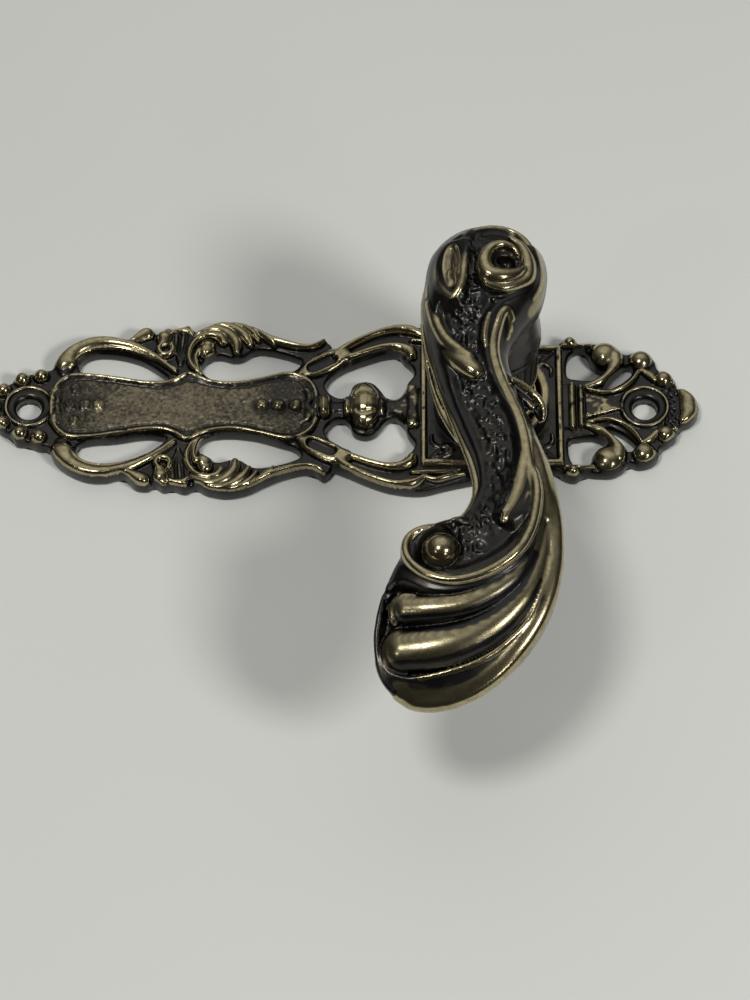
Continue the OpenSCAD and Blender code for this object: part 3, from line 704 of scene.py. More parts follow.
# Sections across the lever: y, left x, right x, lowest z, highest z, dish of the underside
SECTIONS = [(-93.6, -15.3, -14.1, -14.9, -14.3, 0), (-93.2, -17.4, -11.6, -15.2, -13.7, 0),
        (-91.8, -21.0, -6, -15.6, -12.0, 0), (-89, -23.6, -0.8, -15.9, -9.6, 1.4),
        (-85.8, -24.8, 3.4, -16.0, -7.4, 3.2), (-81.2, -25, 7.2, -15.8, -5, 4.8),
        (-75.6, -24.2, 10.2, -14.8, -2.4, 5.4), (-70, -22.4, 11.8, -13.6, -0.4, 5.4),
        (-65, -20, 12.4, -12.8, 1, 4.6), (-61.4, -18.4, 12.5, -12.2, 1.5, 3.6),
        (-59.4, -15.4, 12.5, -11.8, 1.8, 2.6), (-58, -9.8, 12.4, -11.4, 2, 1.6),
        (-55, -7, 12.2, -10.8, 2.2, 0.5), (-50, -4.8, 11.4, -10, 2.6, 0), (-44, -5.8, 10, -9.4, 3, 0),
        (-36, -8.6, 7, -8.6, 3.6, 0), (-28, -11.5, 4, -8, 4.4, 0), (-20, -13.5, 2.2, -7.6, 5.6, 0),
        (-14, -14.6, 4.8, -8, 7.4, 0), (-8, -15, 9, -9.2, 9.6, 0), (-2, -14.2, 10.2, -10, 10.4, 0),
        (3.4, -12.8, 9.6, -9.6, 9.6, 0), (7.2, -10.6, 7.8, -8, 7.8, 0), (9.5, -7.4, 4.4, -5, 5, 0),
        (10.2, -4, 0.4, -1.5, 1.5, 0)]
FULLNESS = 2.2
# How bright the metal is rubbed: patina in the ground, bare brass on the ornament
DULL = 0.16
BARE = 0.82
# Width over which a rubbed or stained band, or a band of painted shade, fades out
BAND_FADE = 1.4


def blend_min(a, b, k):
    m = np.maximum(k - np.abs(a - b), 0) / k
    return np.minimum(a, b) - m * m * k / 4


class Clay:
    """A solid held as the distance to its surface on a grid, negative inside."""

    def __init__(self):
        self.axes = [np.arange(a, b, CLAY, dtype=np.float32) for a, b in zip(CLAY_LOW, CLAY_HIGH)]
        self.x = self.axes[0][:, None, None]
        self.y = self.axes[1][None, :, None]
        self.z = self.axes[2][None, None, :]
        rows = curve(SECTIONS, 1.0)
        self.left, self.right, self.low, self.high, self.dish = (
            np.interp(self.axes[1], rows[:, 0], rows[:, k]) for k in range(1, 6))
        self.d = np.full([len(a) for a in self.axes], 5.0, np.float32)
        self.tone = np.full(self.d.shape, DULL, np.float32)

    def top(self, x, y):
        """Height of the smooth lever's upper surface at a place."""
        left, right, low, high = (np.interp(y, self.axes[1], s) for s in (self.left, self.right,
                                                                          self.low, self.high))
        u = np.clip(np.abs(2 * x - left - right) / (right - left), 0, 0.97)
        return ARM_Z + (low + high) / 2 + (high - low) / 2 * (1 - u**FULLNESS) ** (1 / FULLNESS)

    def heights(self):
        """Height of the clay as it stands now, column by column."""
        filled = self.d < 0
        k = np.clip(filled.shape[2] - 1 - np.argmax(filled[:, :, ::-1], axis=2), 0, filled.shape[2] - 2)
        i, j = np.indices(k.shape)
        under, over = self.d[i, j, k], self.d[i, j, k + 1]
        return np.where(filled.any(axis=2), self.axes[2][k] + CLAY * under / (under - over - 1e-6), -99)

    def sink(self, outline, depth, soft):
        """Lowers the upper surface inside a closed line and leaves it dark, its edge sloping over a width."""
        gx, gy = np.meshgrid(self.axes[0], self.axes[1], indexing="ij")
        share = smooth_step(signed_distance(gx, gy, closed(outline, 0.8)), -0.2, soft)
        cut = 0.8 * (self.z - (self.heights() - depth * share)[:, :, None])
        where = share > 0
        self.d[where] = np.maximum(self.d[where], cut[where])
        self.tone[share > 0.25] = 0

    def window(self, low, high):
        return tuple(slice(max(0, int((a - s) / CLAY)), max(0, int((b - s) / CLAY) + 2))
                     for a, b, s in zip(low, high, CLAY_LOW))

    def tube_distance(self, rows):
        """Distance to a tube of changing radius, inside a window round it."""
        reach = 2.4
        low = (rows[:, :3] - rows[:, 3:4]).min(0) - reach
        high = (rows[:, :3] + rows[:, 3:4]).max(0) + reach
        win = self.window(low, high)
        out = np.full(self.d[win].shape, 5.0, np.float32)
        start = [w.start for w in win]
        for a, b in zip(rows[:-1], rows[1:]):
            r = max(a[3], b[3]) + reach
            close = self.window(np.minimum(a, b)[:3] - r, np.maximum(a, b)[:3] + r)
            x, y, z = (ax[w] for ax, w in zip(self.axes, close))
            x, y, z = x[:, None, None] - a[0], y[None, :, None] - a[1], z[None, None, :] - a[2]
            ab = b[:3] - a[:3]
            t = np.clip((x * ab[0] + y * ab[1] + z * ab[2]) / (ab @ ab + 1e-9), 0, 1)
            gap = np.sqrt((x - t * ab[0]) ** 2 + (y - t * ab[1]) ** 2 + (z - t * ab[2]) ** 2)
            gap -= a[3] + t * (b[3] - a[3])
            inner = tuple(slice(w.start - s, min(w.stop, s + n) - s)
                          for w, s, n in zip(close, start, out.shape))
            shape = out[inner].shape
            out[inner] = np.minimum(out[inner], gap[: shape[0], : shape[1], : shape[2]])
        return win, out

    def rows_of(self, points, radius, lift):
        """Places a drawn line on the smooth lever: its crest stands lift above the surface."""
        p = np.array(points, float)
        n = len(p)
        radius = np.broadcast_to(np.asarray(radius, float), n)
        lift = np.broadcast_to(np.asarray(lift, float), n)
        if p.shape[1] == 2:
            x, y = p.T
            side, step = 1.5, 0.8
            along_x = np.clip((self.top(x + step, y) - self.top(x - step, y)) / (2 * step), -side, side)
            along_y = np.clip((self.top(x, y + step) - self.top(x, y - step)) / (2 * step), -side, side)
            normal = np.column_stack([-along_x, -along_y, np.ones(n)])
            normal /= np.linalg.norm(normal, axis=1)[:, None]
            p = np.column_stack([p, self.top(x, y)]) + normal * (lift - radius)[:, None]
        return curve(np.column_stack([p, radius]), 0.4)

    def paint(self, win, gap, tone, fade=0.4):
        """Sets the tone on a tool's surface, fading out over a width round it."""
        share = np.clip((fade - gap) / fade, 0, 1)
        self.tone[win] += (tone - self.tone[win]) * share

    def rub_and_shade(self, points, radius, tone):
        """Changes how bright a band of the surface is, without changing its shape: rubbed brass, and on the
        shell's lower flanks painted shade.
        """
        win, gap = self.tube_distance(self.rows_of(points, radius, radius))
        self.paint(win, gap + BAND_FADE / 2, tone, BAND_FADE)

    def ridge(self, points, radius, lift=0.0, soft=0.35, tone=BARE, bank=0.0):
        """A rounded ridge. bank fills the space below it, so that it grows out of the ground."""
        rows = self.rows_of(points, radius, lift)
        if bank:
            foot = rows + [0, 0, -bank, 0]
            foot[:, 3] *= 1.12
            win, gap = self.tube_distance(foot)
            self.d[win] = blend_min(self.d[win], gap, 0.8)
            self.paint(win, gap, 0.3)
        win, gap = self.tube_distance(rows)
        self.d[win] = blend_min(self.d[win], gap, soft)
        self.paint(win, gap, tone)

    def blob_distance(self, centre, radii):
        x, y, z = ((a - c) / r for a, c, r in zip((self.x, self.y, self.z), centre, radii))
        s = np.sqrt(x * x + y * y + z * z)
        g = np.sqrt((x / radii[0]) ** 2 + (y / radii[1]) ** 2 + (z / radii[2]) ** 2)
        return s * (s - 1) / (g + 1e-4)

    def blob(self, centre, radii, soft=0.4, tone=None):
        gap = self.blob_distance(centre, radii)
        self.d = blend_min(self.d, gap, soft)
        if tone is not None:
            self.paint((slice(None),) * 3, gap, tone)

    def hollow(self, centre, radii, soft=0.4, tone=0.0):
        gap = self.blob_distance(centre, radii)
        self.d = -blend_min(-self.d, gap, soft)
        self.paint((slice(None),) * 3, gap, tone)


def body_of_lever(clay):
    """The smooth mass: the arm's sections, a rounded head, the flared neck and the shell's dish."""
    high = clay.high
    hw = ((clay.right - clay.left) / 2)[None, :, None]
    hh = ((high - clay.low) / 2)[None, :, None]
    u = np.abs(clay.x - ((clay.left + clay.right) / 2)[None, :, None]) / hw
    v = np.abs(clay.z - ARM_Z - ((high + clay.low) / 2)[None, :, None]) / hh
    g = (u**FULLNESS + v**FULLNESS) ** (1 / FULLNESS) + 1e-5
    slope = np.sqrt(((u / g) ** (FULLNESS - 1) / hw) ** 2 + ((v / g) ** (FULLNESS - 1) / hh) ** 2)
    d = (g - 1) / (slope + 1e-4)
    d = np.where(clay.y > 3.4, 5, d)
    d = np.where(clay.y < SECTIONS[0][0], 5, d)
    swell = hh * np.clip(1 - u**FULLNESS, 0, 1) ** (1 / FULLNESS)
    bottom = ARM_Z + ((high + clay.low) / 2)[None, :, None] - swell
    dish = clay.dish[None, :, None] * np.clip(1 - u * u, 0, 1) ** 2
    d = np.where(clay.dish[None, :, None] > 0.05, -blend_min(-d, -(bottom + dish - clay.z), 0.8), d)
    clay.d = np.clip(d, -6, 6).astype(np.float32)
    clay.blob((-2.2, -0.6, 51), (12, 10.8, 10), 1.5)
    neck = [(26.2, 9.55), (28.1, 9.6), (28.5, 9.45), (30, 9.85), (33, 9.7), (36, 9.3), (40, 9), (46, 9)]
    radius = np.interp(clay.axes[2], [z for z, _ in neck], [r for _, r in neck])[None, None, :]
    turned = np.hypot(clay.x, clay.y) - radius
    turned = np.maximum(turned, clay.z - 46)
    clay.d = blend_min(clay.d, turned, 2.5)
    clay.d = np.maximum(clay.d, FERRULE[1][2] + 0.05 - clay.z)


# The dark, sunken field that starts round the volute and runs down the arm to the ball
CHANNEL = [(-6.2, 4.8), (-3.6, 7), (0, 7.8), (4, 6.6), (7.2, 3.6), (8.6, -0.6), (8.2, -4.6),
        (6.6, -7.8), (3.6, -10.2), (0.8, -11.8), (-1.4, -14.4), (-2.4, -18), (-2.2, -22), (-1.2, -26),
        (0.6, -30), (2.6, -34), (3.8, -38), (4.4, -42), (4.2, -46), (3.2, -50.4), (1.6, -54.6),
        (0.8, -58.6), (2.6, -59.8), (4.8, -58.6), (5.2, -60.4), (3.8, -63.4), (1.4, -66), (-2.2, -68.4),
        (-6, -70), (-10, -70.8), (-14.4, -69.4), (-17, -66.6), (-17.6, -63.8), (-15.4, -61.8),
        (-11, -60.4), (-7.4, -57.8), (-5.4, -54.6), (-4, -50), (-4.4, -45), (-6, -40), (-8, -34.6),
        (-9.4, -30), (-10.2, -26), (-11.6, -21.4), (-12.8, -16.6), (-12.9, -12), (-11.6, -10),
        (-9, -11), (-7.5, -8.4), (-6.9, -4), (-6.4, 0)]
# The sunken field behind the lobes of the shell
SHELL_GROUND = [(9.2, -59), (7.2, -63.2), (4.2, -68), (0.2, -71.2), (-4, -73.2), (-9, -74.3),
        (-14, -74), (-18, -71.8), (-20.6, -71), (-22.8, -74.4), (-23.9, -79), (-24.1, -84),
        (-22.8, -87.4), (-19.6, -89), (-16, -89.2), (-10, -88.4), (-4.9, -87), (0.1, -84.1),
        (5.1, -79.5), (8.1, -74), (9.9, -67.2), (10, -62)]


def carve_head(clay):
    """Volute on the head, and the cupped leaf beside it."""
    # outer turn of the volute, from the back round the right side
    clay.rub_and_shade([(8.8, 1.4), (9.6, -3), (9.2, -7), (7.4, -10.4)], 2.0, 0.56)
    clay.ridge([(-4.6, 6.6), (-1, 7.9), (2.8, 7.5), (5.8, 5.4), (8, 2.2), (9, -1.6), (8.8, -5.4),
                (7.4, -8.6)], [0.3, 0.4, 0.45, 0.6, 0.9, 1.1, 1.1, 0.7], 0, 0.6, bank=1.0)
    clay.ridge([(2.8, 4), (4.9, 2.5), (6.4, 0.2), (7, -2.6), (6.6, -5.2), (4.6, -7.2), (1.4, -8.7),
            (-1.7, -8.2), (-3.5, -6.3)], [0.5, 0.9, 1.35, 1.6, 1.5, 1.2, 0.95, 0.75, 0.5],
            [0.1, 0.3, 0.4, 0.45, 0.4, 0.2, 0.1, 0, 0], 0.3, bank=1.0)
    # inner turn, thin at its tip and fat below the eye
    clay.ridge([(4.3, -1.1), (3.2, 0.5), (1.2, 1.3), (-1, 0.5), (-2.4, -1.5), (-2.7, -4), (-1.4, -6.0),
            (1.2, -6.3), (3.7, -5.4), (5.4, -3.8)], [0.35, 0.5, 0.75, 1.05, 1.4, 1.75, 2.0, 1.85, 1.35,
                    0.8], [0.4, 0.6, 0.7, 0.7, 0.8, 0.9, 1.0, 0.9, 0.6, 0.3], 0.25, bank=1.0)
    clay.hollow((2.0, -2.2, 61.6), (2.35, 1.75, 4.6), 0.3)
    # the cupped leaf: a thin rim round a mottled hollow
    clay.hollow((-9.6, -3.0, 59.6), (2.0, 5.6, 1.7), 0.4, 0.8)
    clay.ridge([(-6.7, 4.6), (-6.6, 0), (-6.9, -4), (-7.5, -8), (-9.2, -10.2), (-11, -8.6),
            (-12.2, -5.2), (-12.2, -2), (-11.2, 0.8), (-9, 3.4), (-7, 4.9)],
            [0.4, 0.6, 0.7, 0.75, 0.85, 0.75, 0.6, 0.55, 0.5, 0.45, 0.4], 0.2, 0.7, 0.7, bank=0.7)
    clay.ridge([(-9, 2.4), (-8.9, -1), (-8.6, -4.8), (-8.7, -7.4)], [0.4, 0.8, 1.1, 1.2], -0.7, 0.8, 0.72)
    for x in (-10.3, -8.5):
        clay.ridge([(x, -8.8), (x + 0.4, -7.2), (x, -5.4), (x + 0.2, -3.8)], [0.4, 0.65, 0.5, 0.25],
                   [-0.3, 0, -0.2, -0.5], 0.3, 0.7)
    # ledge under the volute
    clay.ridge([(-0.6, -11.2), (2, -11.6), (4.8, -10.6), (6.6, -9)], [0.5, 0.8, 0.8, 0.5], -0.6, 0.5, 0.34)


def carve_arm(clay):
    """Rims, leaves and the rough channel along the arm."""
    # left edge: two rims, the outer one swelling into a narrow leaf
    clay.ridge([(-14.2, -2, 51), (-14.6, -7, 50.6), (-14.4, -12, 50.2), (-13.8, -17.6, 49.9),
            (-12.5, -23, 49.6), (-10.9, -29, 49.3), (-9, -34.8, 49.1), (-7.2, -40, 48.9),
            (-5.6, -45, 48.8), (-4.8, -49, 48.8), (-4.9, -52.6, 49), (-6.2, -56, 49.2),
            (-8.6, -59.2, 49.5)], [0.4, 0.9, 1.05, 1.0, 0.9, 0.8, 0.75, 0.75, 0.75, 0.75, 0.7, 0.6, 0.5])
    clay.ridge([(-15.3, -10.6, 48.8), (-14.6, -18, 48.4), (-13.5, -24.4, 48.2), (-12.4, -28.6, 48),
            (-11.2, -32, 47.9), (-9.7, -35.6, 48), (-8.2, -39, 48.2)], [0.4, 0.5, 0.5, 0.7, 0.75, 0.6, 0.35])
    # left scroll that ends in a drop
    clay.ridge([(-14.2, -5), (-14.2, -8.6), (-13.7, -12), (-12.6, -15.4), (-10.8, -18.8), (-8.4, -21.2),
            (-6, -22.8)], [0.4, 0.7, 1.0, 1.2, 1.35, 1.4, 1.0], [0, 0.2, 0.2, 0.3, 0.4, 0.4, 0.3], 0.6,
            0.9, bank=0.9)
    clay.ridge([(-11.4, -20.6), (-9.4, -22.6), (-7.2, -24.2), (-5.3, -25.6), (-4.2, -26.8)],
               [0.9, 1.7, 2.2, 2.1, 1.3], [-0.2, 0.2, 0.6, 0.7, 0.3], 0.8, 0.85)
    # tongue
    clay.ridge([(-1.8, -14), (-2.4, -16.4), (-2.6, -18.6), (-2.3, -20.4)], [0.35, 0.6, 0.65, 0.4],
               [-0.2, 0, 0, -0.1])
    # right rim with its loop at the head
    clay.ridge([(3, -13.8), (2.0, -12.7), (0.9, -13.8), (0, -16.4), (-0.6, -19.6), (-0.4, -22.8),
            (0.5, -26.2), (1.9, -29.8), (3.5, -33.4), (4.7, -37), (5.4, -40.8), (5.8, -45),
            (6.4, -49.4), (7, -53.4)], [0.6, 0.8, 0.85, 0.95, 1.0, 1.05, 1.1, 1.15, 1.15, 1.15, 1.1,
                    1.1, 1.05, 1.0], [0.2, 0.4, 0.5, 0.5, 0.5, 0.5, 0.5, 0.5, 0.5, 0.5, 0.45, 0.4, 0.35,
                                      0.3], tone=0.95, bank=1.0)
    clay.ridge([(2.4, -14), (2.7, -15.6), (1.9, -17.6)], [0.8, 1.1, 0.5], 0.0, tone=0.9)
    # small leaf that hangs off the right rim
    clay.ridge([(1.4, -26, 52.6), (3.8, -26.9, 51.9), (6.4, -28.4, 51), (8.4, -30.4, 50.3),
                (9.2, -32.8, 49.8), (9, -35, 49.5)], [0.5, 0.6, 0.65, 0.7, 0.6, 0.3], 0, 0.5, 0.66)
    clay.ridge([(3.2, -28, 50.7), (5.2, -29.8, 50.1), (6.8, -31.6, 49.6)], [0.4, 0.6, 0.7], -0.3, 0.6, 0.4)
    clay.ridge([(2.6, -27.6, 49.8), (5.4, -29.6, 49.2), (7.6, -31.8, 48.7), (8.6, -34.6, 48.6)],
               [1.0, 1.0, 0.9, 0.4], 0, 1.0, 0.2)
    # pointed leaf at the foot of the channel
    clay.ridge([(5.2, -45), (4.6, -49), (3.7, -53), (2.4, -56.2), (1.1, -58.6), (0.5, -60.4)],
               [0.9, 1.4, 1.4, 1.05, 0.7, 0.35], [0.3, 0.3, 0.3, 0.2, 0.1, 0], bank=0.8)
    clay.ridge([(5.6, -54), (4.4, -57), (3, -59)], [0.5, 0.6, 0.3], [0, -0.2, -0.4])
    # swelling flank above the shell
    clay.ridge([(5.6, -33), (6.8, -38), (8, -43), (9, -48), (10, -53.5), (10.8, -59), (11.3, -65)],
               [0.5, 1.1, 1.7, 2.1, 2.2, 2.0, 1.6], [-0.5, -0.2, 0, 0.1, 0.1, 0, 0], 0.8, 0.9)


def carve_shell(clay):
    """The fluted shell: main scroll round a ball, full lobes and a broad smooth rim."""
    clay.rub_and_shade([(7.6, -43), (9, -50), (9.8, -57), (9.6, -64), (8, -71)], 3.0, 0.66)
    clay.rub_and_shade([(6, -80, 44), (0, -86, 41), (-7, -89.4, 38.5), (-14, -90.6, 37.5), (-19.5, -89.6, 37.5)],
             2.8, 0.56)
    clay.hollow((-12.4, -65.4, 51.2), (5.4, 5.2, 5.0), 0.6)
    clay.blob((-11.8, -64.7, 47.7), (3.6, 3.5, 3.6), 0.2, 0.95)
    clay.ridge([(6.3, -46, 52), (7, -50, 52.4), (7.3, -54, 52.2), (6.9, -58, 51.8), (6, -61.6, 51.4),
            (4.4, -65, 51), (2, -67.8, 50.6), (-1.4, -70.1, 50.1), (-5, -71.6, 49.6),
            (-8.8, -72.3, 49.3), (-12.4, -71.8, 49.1), (-15.6, -70.2, 48.9), (-18, -67.6, 48.7),
            (-18.9, -64.8, 48.6), (-18.3, -62.2, 48.6), (-16.4, -60.5, 48.8), (-13.8, -59.8, 49.1),
            (-11, -60, 49.4)], [0.4, 0.9, 1.1, 1.1, 1.1, 1.1, 1.1, 1.05, 1.0, 0.95, 0.95, 0.95, 0.9,
                                0.85, 0.8, 0.7, 0.6, 0.5], 0, 0.25, 0.95, bank=1.1)
    clay.ridge([(5, -66.8, 49.8), (1.6, -69.9, 49.4), (-2, -72.1, 48.9), (-6, -73.5, 48.4),
                (-10, -74, 48), (-13.6, -73.4, 47.6)], [0.3, 0.4, 0.4, 0.4, 0.4, 0.3], 0, 0.4, 0.45)
    # two full lobes
    clay.ridge([(7.6, -40), (8.6, -47), (8.9, -55), (7.6, -63), (4.1, -69.7), (0, -73.5), (-4.6, -75.9),
            (-9, -77.2), (-14.4, -77.4), (-19.2, -76.9)],
            [0.4, 0.9, 1.2, 1.5, 2.2, 2.6, 2.8, 2.8, 3.1, 3.3],
            [-1.0, -0.6, -0.35, -0.2, 0.1, 0.4, 0.6, 0.7, 0.6, 0.4], 0.25, 0.66)
    clay.ridge([(8.6, -42), (9.6, -50), (9.9, -58), (8.8, -66.4), (5.2, -74.2), (0.2, -79.4),
            (-4.9, -82.4), (-10, -84.1), (-15, -84.8), (-20, -84.7)],
            [0.4, 1.0, 1.5, 2.1, 3.3, 4.2, 4.8, 5.1, 5.2, 4.9],
            [-1.2, -0.8, -0.5, -0.3, 0.2, 0.6, 0.9, 1.1, 1.0, 0.8], 0.25, 0.66)
    # their lower flanks, on the -Y side, are painted dark in the patina colour: painted shade standing for
    # the dark room these flanks reflect
    clay.rub_and_shade([(-20, -79.6), (-14.4, -80), (-9, -79.7), (-4.6, -78.4), (0, -75.9), (4.2, -71.8), (7, -66.5)],
             [1.2, 1.4, 1.5, 1.4, 1.2, 0.9, 0.5], 0.05)
    clay.rub_and_shade([(-20.6, -88), (-15, -88.4), (-10, -87.8), (-4.9, -86), (0.2, -83), (5.0, -78.2), (8.2, -71.5)],
             [1.7, 2.1, 2.3, 2.2, 1.7, 1.1, 0.5], 0.05)
    # lips round the lobes' blunt ends
    clay.ridge([(-17.4, -74.5), (-19.8, -74.3), (-21.6, -75.6), (-22, -77.7), (-21.2, -79.2), (-19.8, -79.9)],
               [0.4, 0.6, 0.75, 0.7, 0.5, 0.3], [-0.7, -0.4, -0.1, -0.2, -0.7, -1.4], 0.7, 0.7, bank=0.8)
    clay.ridge([(-19.8, -80.9), (-21.6, -81.4), (-23, -83.2), (-23.3, -85.8), (-21.8, -88), (-19, -88.8)],
               [0.3, 0.5, 0.7, 0.75, 0.6, 0.4], [-1.4, -0.6, -0.2, -0.1, -0.5, -0.9], 0.7, 0.7, bank=0.8)
    # last lobe: its sharp upper line, and the broad rim that closes the shell
    clay.ridge([(9.9, -66.6), (8, -73.6), (5.1, -79.2), (0.1, -84), (-4.9, -86.9), (-9.9, -88.5),
            (-15.9, -89.6)], [0.35, 0.5, 0.55, 0.6, 0.6, 0.6, 0.4], [-0.2, 0, 0.15, 0.2, 0.2, 0.2, 0.1],
            0.3, 0.9)
    rim = [(9, -45, 49.8), (10.3, -51, 49.2), (10.9, -57, 48.4), (11, -62, 47.3), (10.6, -67, 46.1),
           (9.3, -72.7, 44.4), (6.9, -78, 42.5), (3.2, -83.2, 40.3), (-1.3, -87.5, 38.3),
           (-6.6, -90.6, 36.6), (-11.9, -92.1, 35.7), (-16.8, -92.1, 35.5), (-20.4, -90.6, 36)]
    clay.ridge(rim, [0.4, 0.9, 1.4, 1.7, 1.9, 2.0, 2.1, 2.1, 2.1, 2.1, 2.1, 1.9, 1.3], 0, 1.0, 0.62)
    clay.rub_and_shade([(-18, -90, 38.2), (-11, -89.4, 38.8), (-5.4, -88, 39.8), (-0.6, -85.5, 41.2)],
             [0.9, 1.1, 1.0, 0.4], 0.1)
    clay.rub_and_shade([(x, y - 0.5, z + 1.8) for x, y, z in rim[7:]], 1.4, 0.8)
    # thin rim along the left edge
    clay.ridge([(-20.4, -69.8, 46), (-22.5, -72.4, 45.2), (-23.8, -76.6, 43.8), (-24.5, -81, 42),
            (-24.2, -85.8, 40.1), (-22.8, -89.4, 38.5), (-20.8, -91.4, 37.5)],
            [0.4, 0.55, 0.6, 0.6, 0.6, 0.55, 0.5], 0, 0.4, -0.1)


def roughen(clay):
    """Punched ground in the channel, faint unevenness of the casting elsewhere."""
    path = curve([(-3.6, 2), (-4.6, -6), (-6.2, -12), (-7.4, -16), (-6.4, -20), (-5, -27.5),
            (-3.4, -32), (-1.6, -37), (0, -43), (0.4, -49), (-0.6, -55), (-3, -60), (-8, -60.4),
            (-6, -65)], 1.5)
    x, y = clay.axes[0][:, None], clay.axes[1][None, :]
    near_path = np.full(clay.d.shape[:2], 99.0)
    for px, py in path:
        near_path = np.minimum(near_path, np.hypot(x - px, y - py))
    mask = 1 - smooth_step(near_path, 1.4, 4.0)
    far = np.hypot((x + 22) / 1.8, (y + 77) / 8)
    mask = np.maximum(mask, 0.9 * (1 - smooth_step(far, 0.7, 1)))[:, :, None]
    size = CLAY_HIGH - CLAY_LOW
    punched = lattice_noise(clay.d.shape, (size / 0.85).astype(int), 11) - 0.5
    lumps = lattice_noise(clay.d.shape, (size / 1.9).astype(int), 13) - 0.5
    cast = lattice_noise(clay.d.shape, (size / 2.6).astype(int), 12) - 0.5
    dark = np.clip((0.5 - clay.tone) / 0.4, 0, 1)
    move = mask * dark * (0.75 * punched + 0.45 * lumps) + cast * (0.05 + 0.1 * dark)
    clay.d = clay.d - move.astype(np.float32)


def clay_mesh(clay):
    """Quads on the clay's surface, with how raised or sunken each point is."""
    grid = openvdb.FloatGrid(5.0)
    grid.copyFromArray(clay.d)
    points, tris, quads = grid.convertToPolygons(isovalue=0, adaptivity=0.0)
    filled = np.clip(0.5 - clay.d / (2 * CLAY), 0, 1)
    fine = 0.5 - sampled(blurred(filled, 1), points)
    broad = 0.5 - sampled(blurred(filled, 4), points)
    tone = sampled(clay.tone, points)
    return points * CLAY + CLAY_LOW, quads, tris, tone + 1.1 * fine + 0.7 * broad


def make_lever_grip(material):
    clay = Clay()
    body_of_lever(clay)
    clay.sink(SHELL_GROUND, 2.6, 1.4)
    clay.sink(CHANNEL, 1.7, 2.4)
    carve_shell(clay)
    carve_arm(clay)
    carve_head(clay)
    roughen(clay)
    points, quads, tris, raised = clay_mesh(clay)
    masks = {"raised": np.clip(raised, 0, 1), "stipple": np.zeros(len(points))}
    return make_piece("lever_grip", points, [quads, tris], material, "lever",
                      ("lever",), masks)


# ------------------------------------------------------------------ turned pieces

def ring_points(radii, z, angles):
    return np.column_stack([radii * np.cos(angles), radii * np.sin(angles), np.broadcast_to(z, len(angles))])


def stack_rings(rings, closed_stack=False):
    """Points and quads of a surface through rings that have the same number of points."""
    n = len(rings[0])
    rows = [k * n + np.arange(n) for k in range(len(rings))]
    pairs = list(zip(rows[:-1], rows[1:]))
    if closed_stack:
        pairs.append((rows[-1], rows[0]))
    faces = [np.column_stack([a, b, np.roll(b, -1), np.roll(a, -1)]) for a, b in pairs]
    return np.vstack(rings), np.vstack(faces)


def cut_hole(piece, centre, radius, reach):
    """Bores a round hole towards -Y through one wall of a piece."""
    sides = 48
    a = np.linspace(0, 2 * math.pi, sides, endpoint=False)
    rings = [np.column_stack([centre[0] + radius * np.cos(a), np.full(sides, y),
                              centre[2] + radius * np.sin(a)]) for y in reach]
    points, quads = stack_rings(rings)
    mesh = bpy.data.meshes.new("cutter")
    caps = [list(range(sides)), list(range(2 * sides - 1, sides - 1, -1))]
    mesh.from_pydata((points * MM).tolist(), [], quads.tolist() + caps)
    work = bmesh.new()
    work.from_mesh(mesh)
    bmesh.ops.recalc_face_normals(work, faces=work.faces)
    work.to_mesh(mesh)
    work.free()
    cutter = bpy.data.objects.new("cutter", mesh)
    bpy.context.scene.collection.objects.link(cutter)
    cut = piece.modifiers.new("hole", "BOOLEAN")
    cut.object = cutter
    cut.operation = "DIFFERENCE"
    bpy.context.view_layer.update()
    graph = bpy.context.evaluated_depsgraph_get()
    bored = bpy.data.meshes.new_from_object(piece.evaluated_get(graph))
    piece.modifiers.clear()
    piece.data = bored
    bpy.data.objects.remove(cutter)


def make_neck(material):
    """The lever's turned stem: spigot, cove, shoulder and the journal with its flats and groove."""
    n = 144
    a = np.linspace(0, 2 * math.pi, n, endpoint=False)
    journal = BUSH_SEAT_R - 1.12
    spigot = 7.94
    flat = 5.7
    across = 7.2
    top = FERRULE[1][2] + 4.4
    foot = LEVER[0][2]
    flats = np.minimum(journal, flat / np.maximum(np.abs(np.cos(a)), 1e-3))
    bevel = np.minimum(journal - 0.3, flat / np.maximum(np.abs(np.cos(a)), 1e-3))
    square = across / 2 / np.maximum(np.abs(np.cos(a)), np.abs(np.sin(a)))
    outer = [(7.0, top), (spigot, top - 0.4), (spigot, 22), (spigot, 16.9), (7.85, 16.4), (7.85, 15.8),
            (7.85, 13), (7.85, 10.8), (7.95, 10.3), (8.3, 9.95), (8.85, 9.75), (9, 9.55), (9, 9.0),
            (8.9, 8.8), (journal, 8.8), (journal, 6), (journal, 3.05)]
    rings = [ring_points(np.full(n, 0.02), top, a)]
    rings += [ring_points(np.full(n, r), z, a) for r, z in outer]
    groove = np.minimum(6.0, flats)
    rings += [ring_points(flats, z, a) for z in (3.0, 2.5, 1.96)]
    rings += [ring_points(groove, z, a) for z in (1.95, 1.25)]
    rings += [ring_points(flats, 1.24, a), ring_points(flats, foot + 0.3, a), ring_points(bevel, foot, a)]
    rings += [ring_points(square, z, a) for z in (foot, foot + 0.01, 15, 30)]
    rings += [ring_points(np.full(n, 0.02), 30, a)]
    points, quads = stack_rings(rings)
    masks = {"raised": np.where(points[:, 2] > 9, 0.3, 0.5), "stipple": np.zeros(len(points))}
    piece = make_piece("lever_neck", points, [quads], material, "lever", (), masks)
    grub = node_box("grub_screw")
    centre = (grub[0] + grub[1]) / 2
    cut_hole(piece, centre, (grub[1][0] - grub[0][0]) / 2 + 0.05, (-12, -5))
    return piece


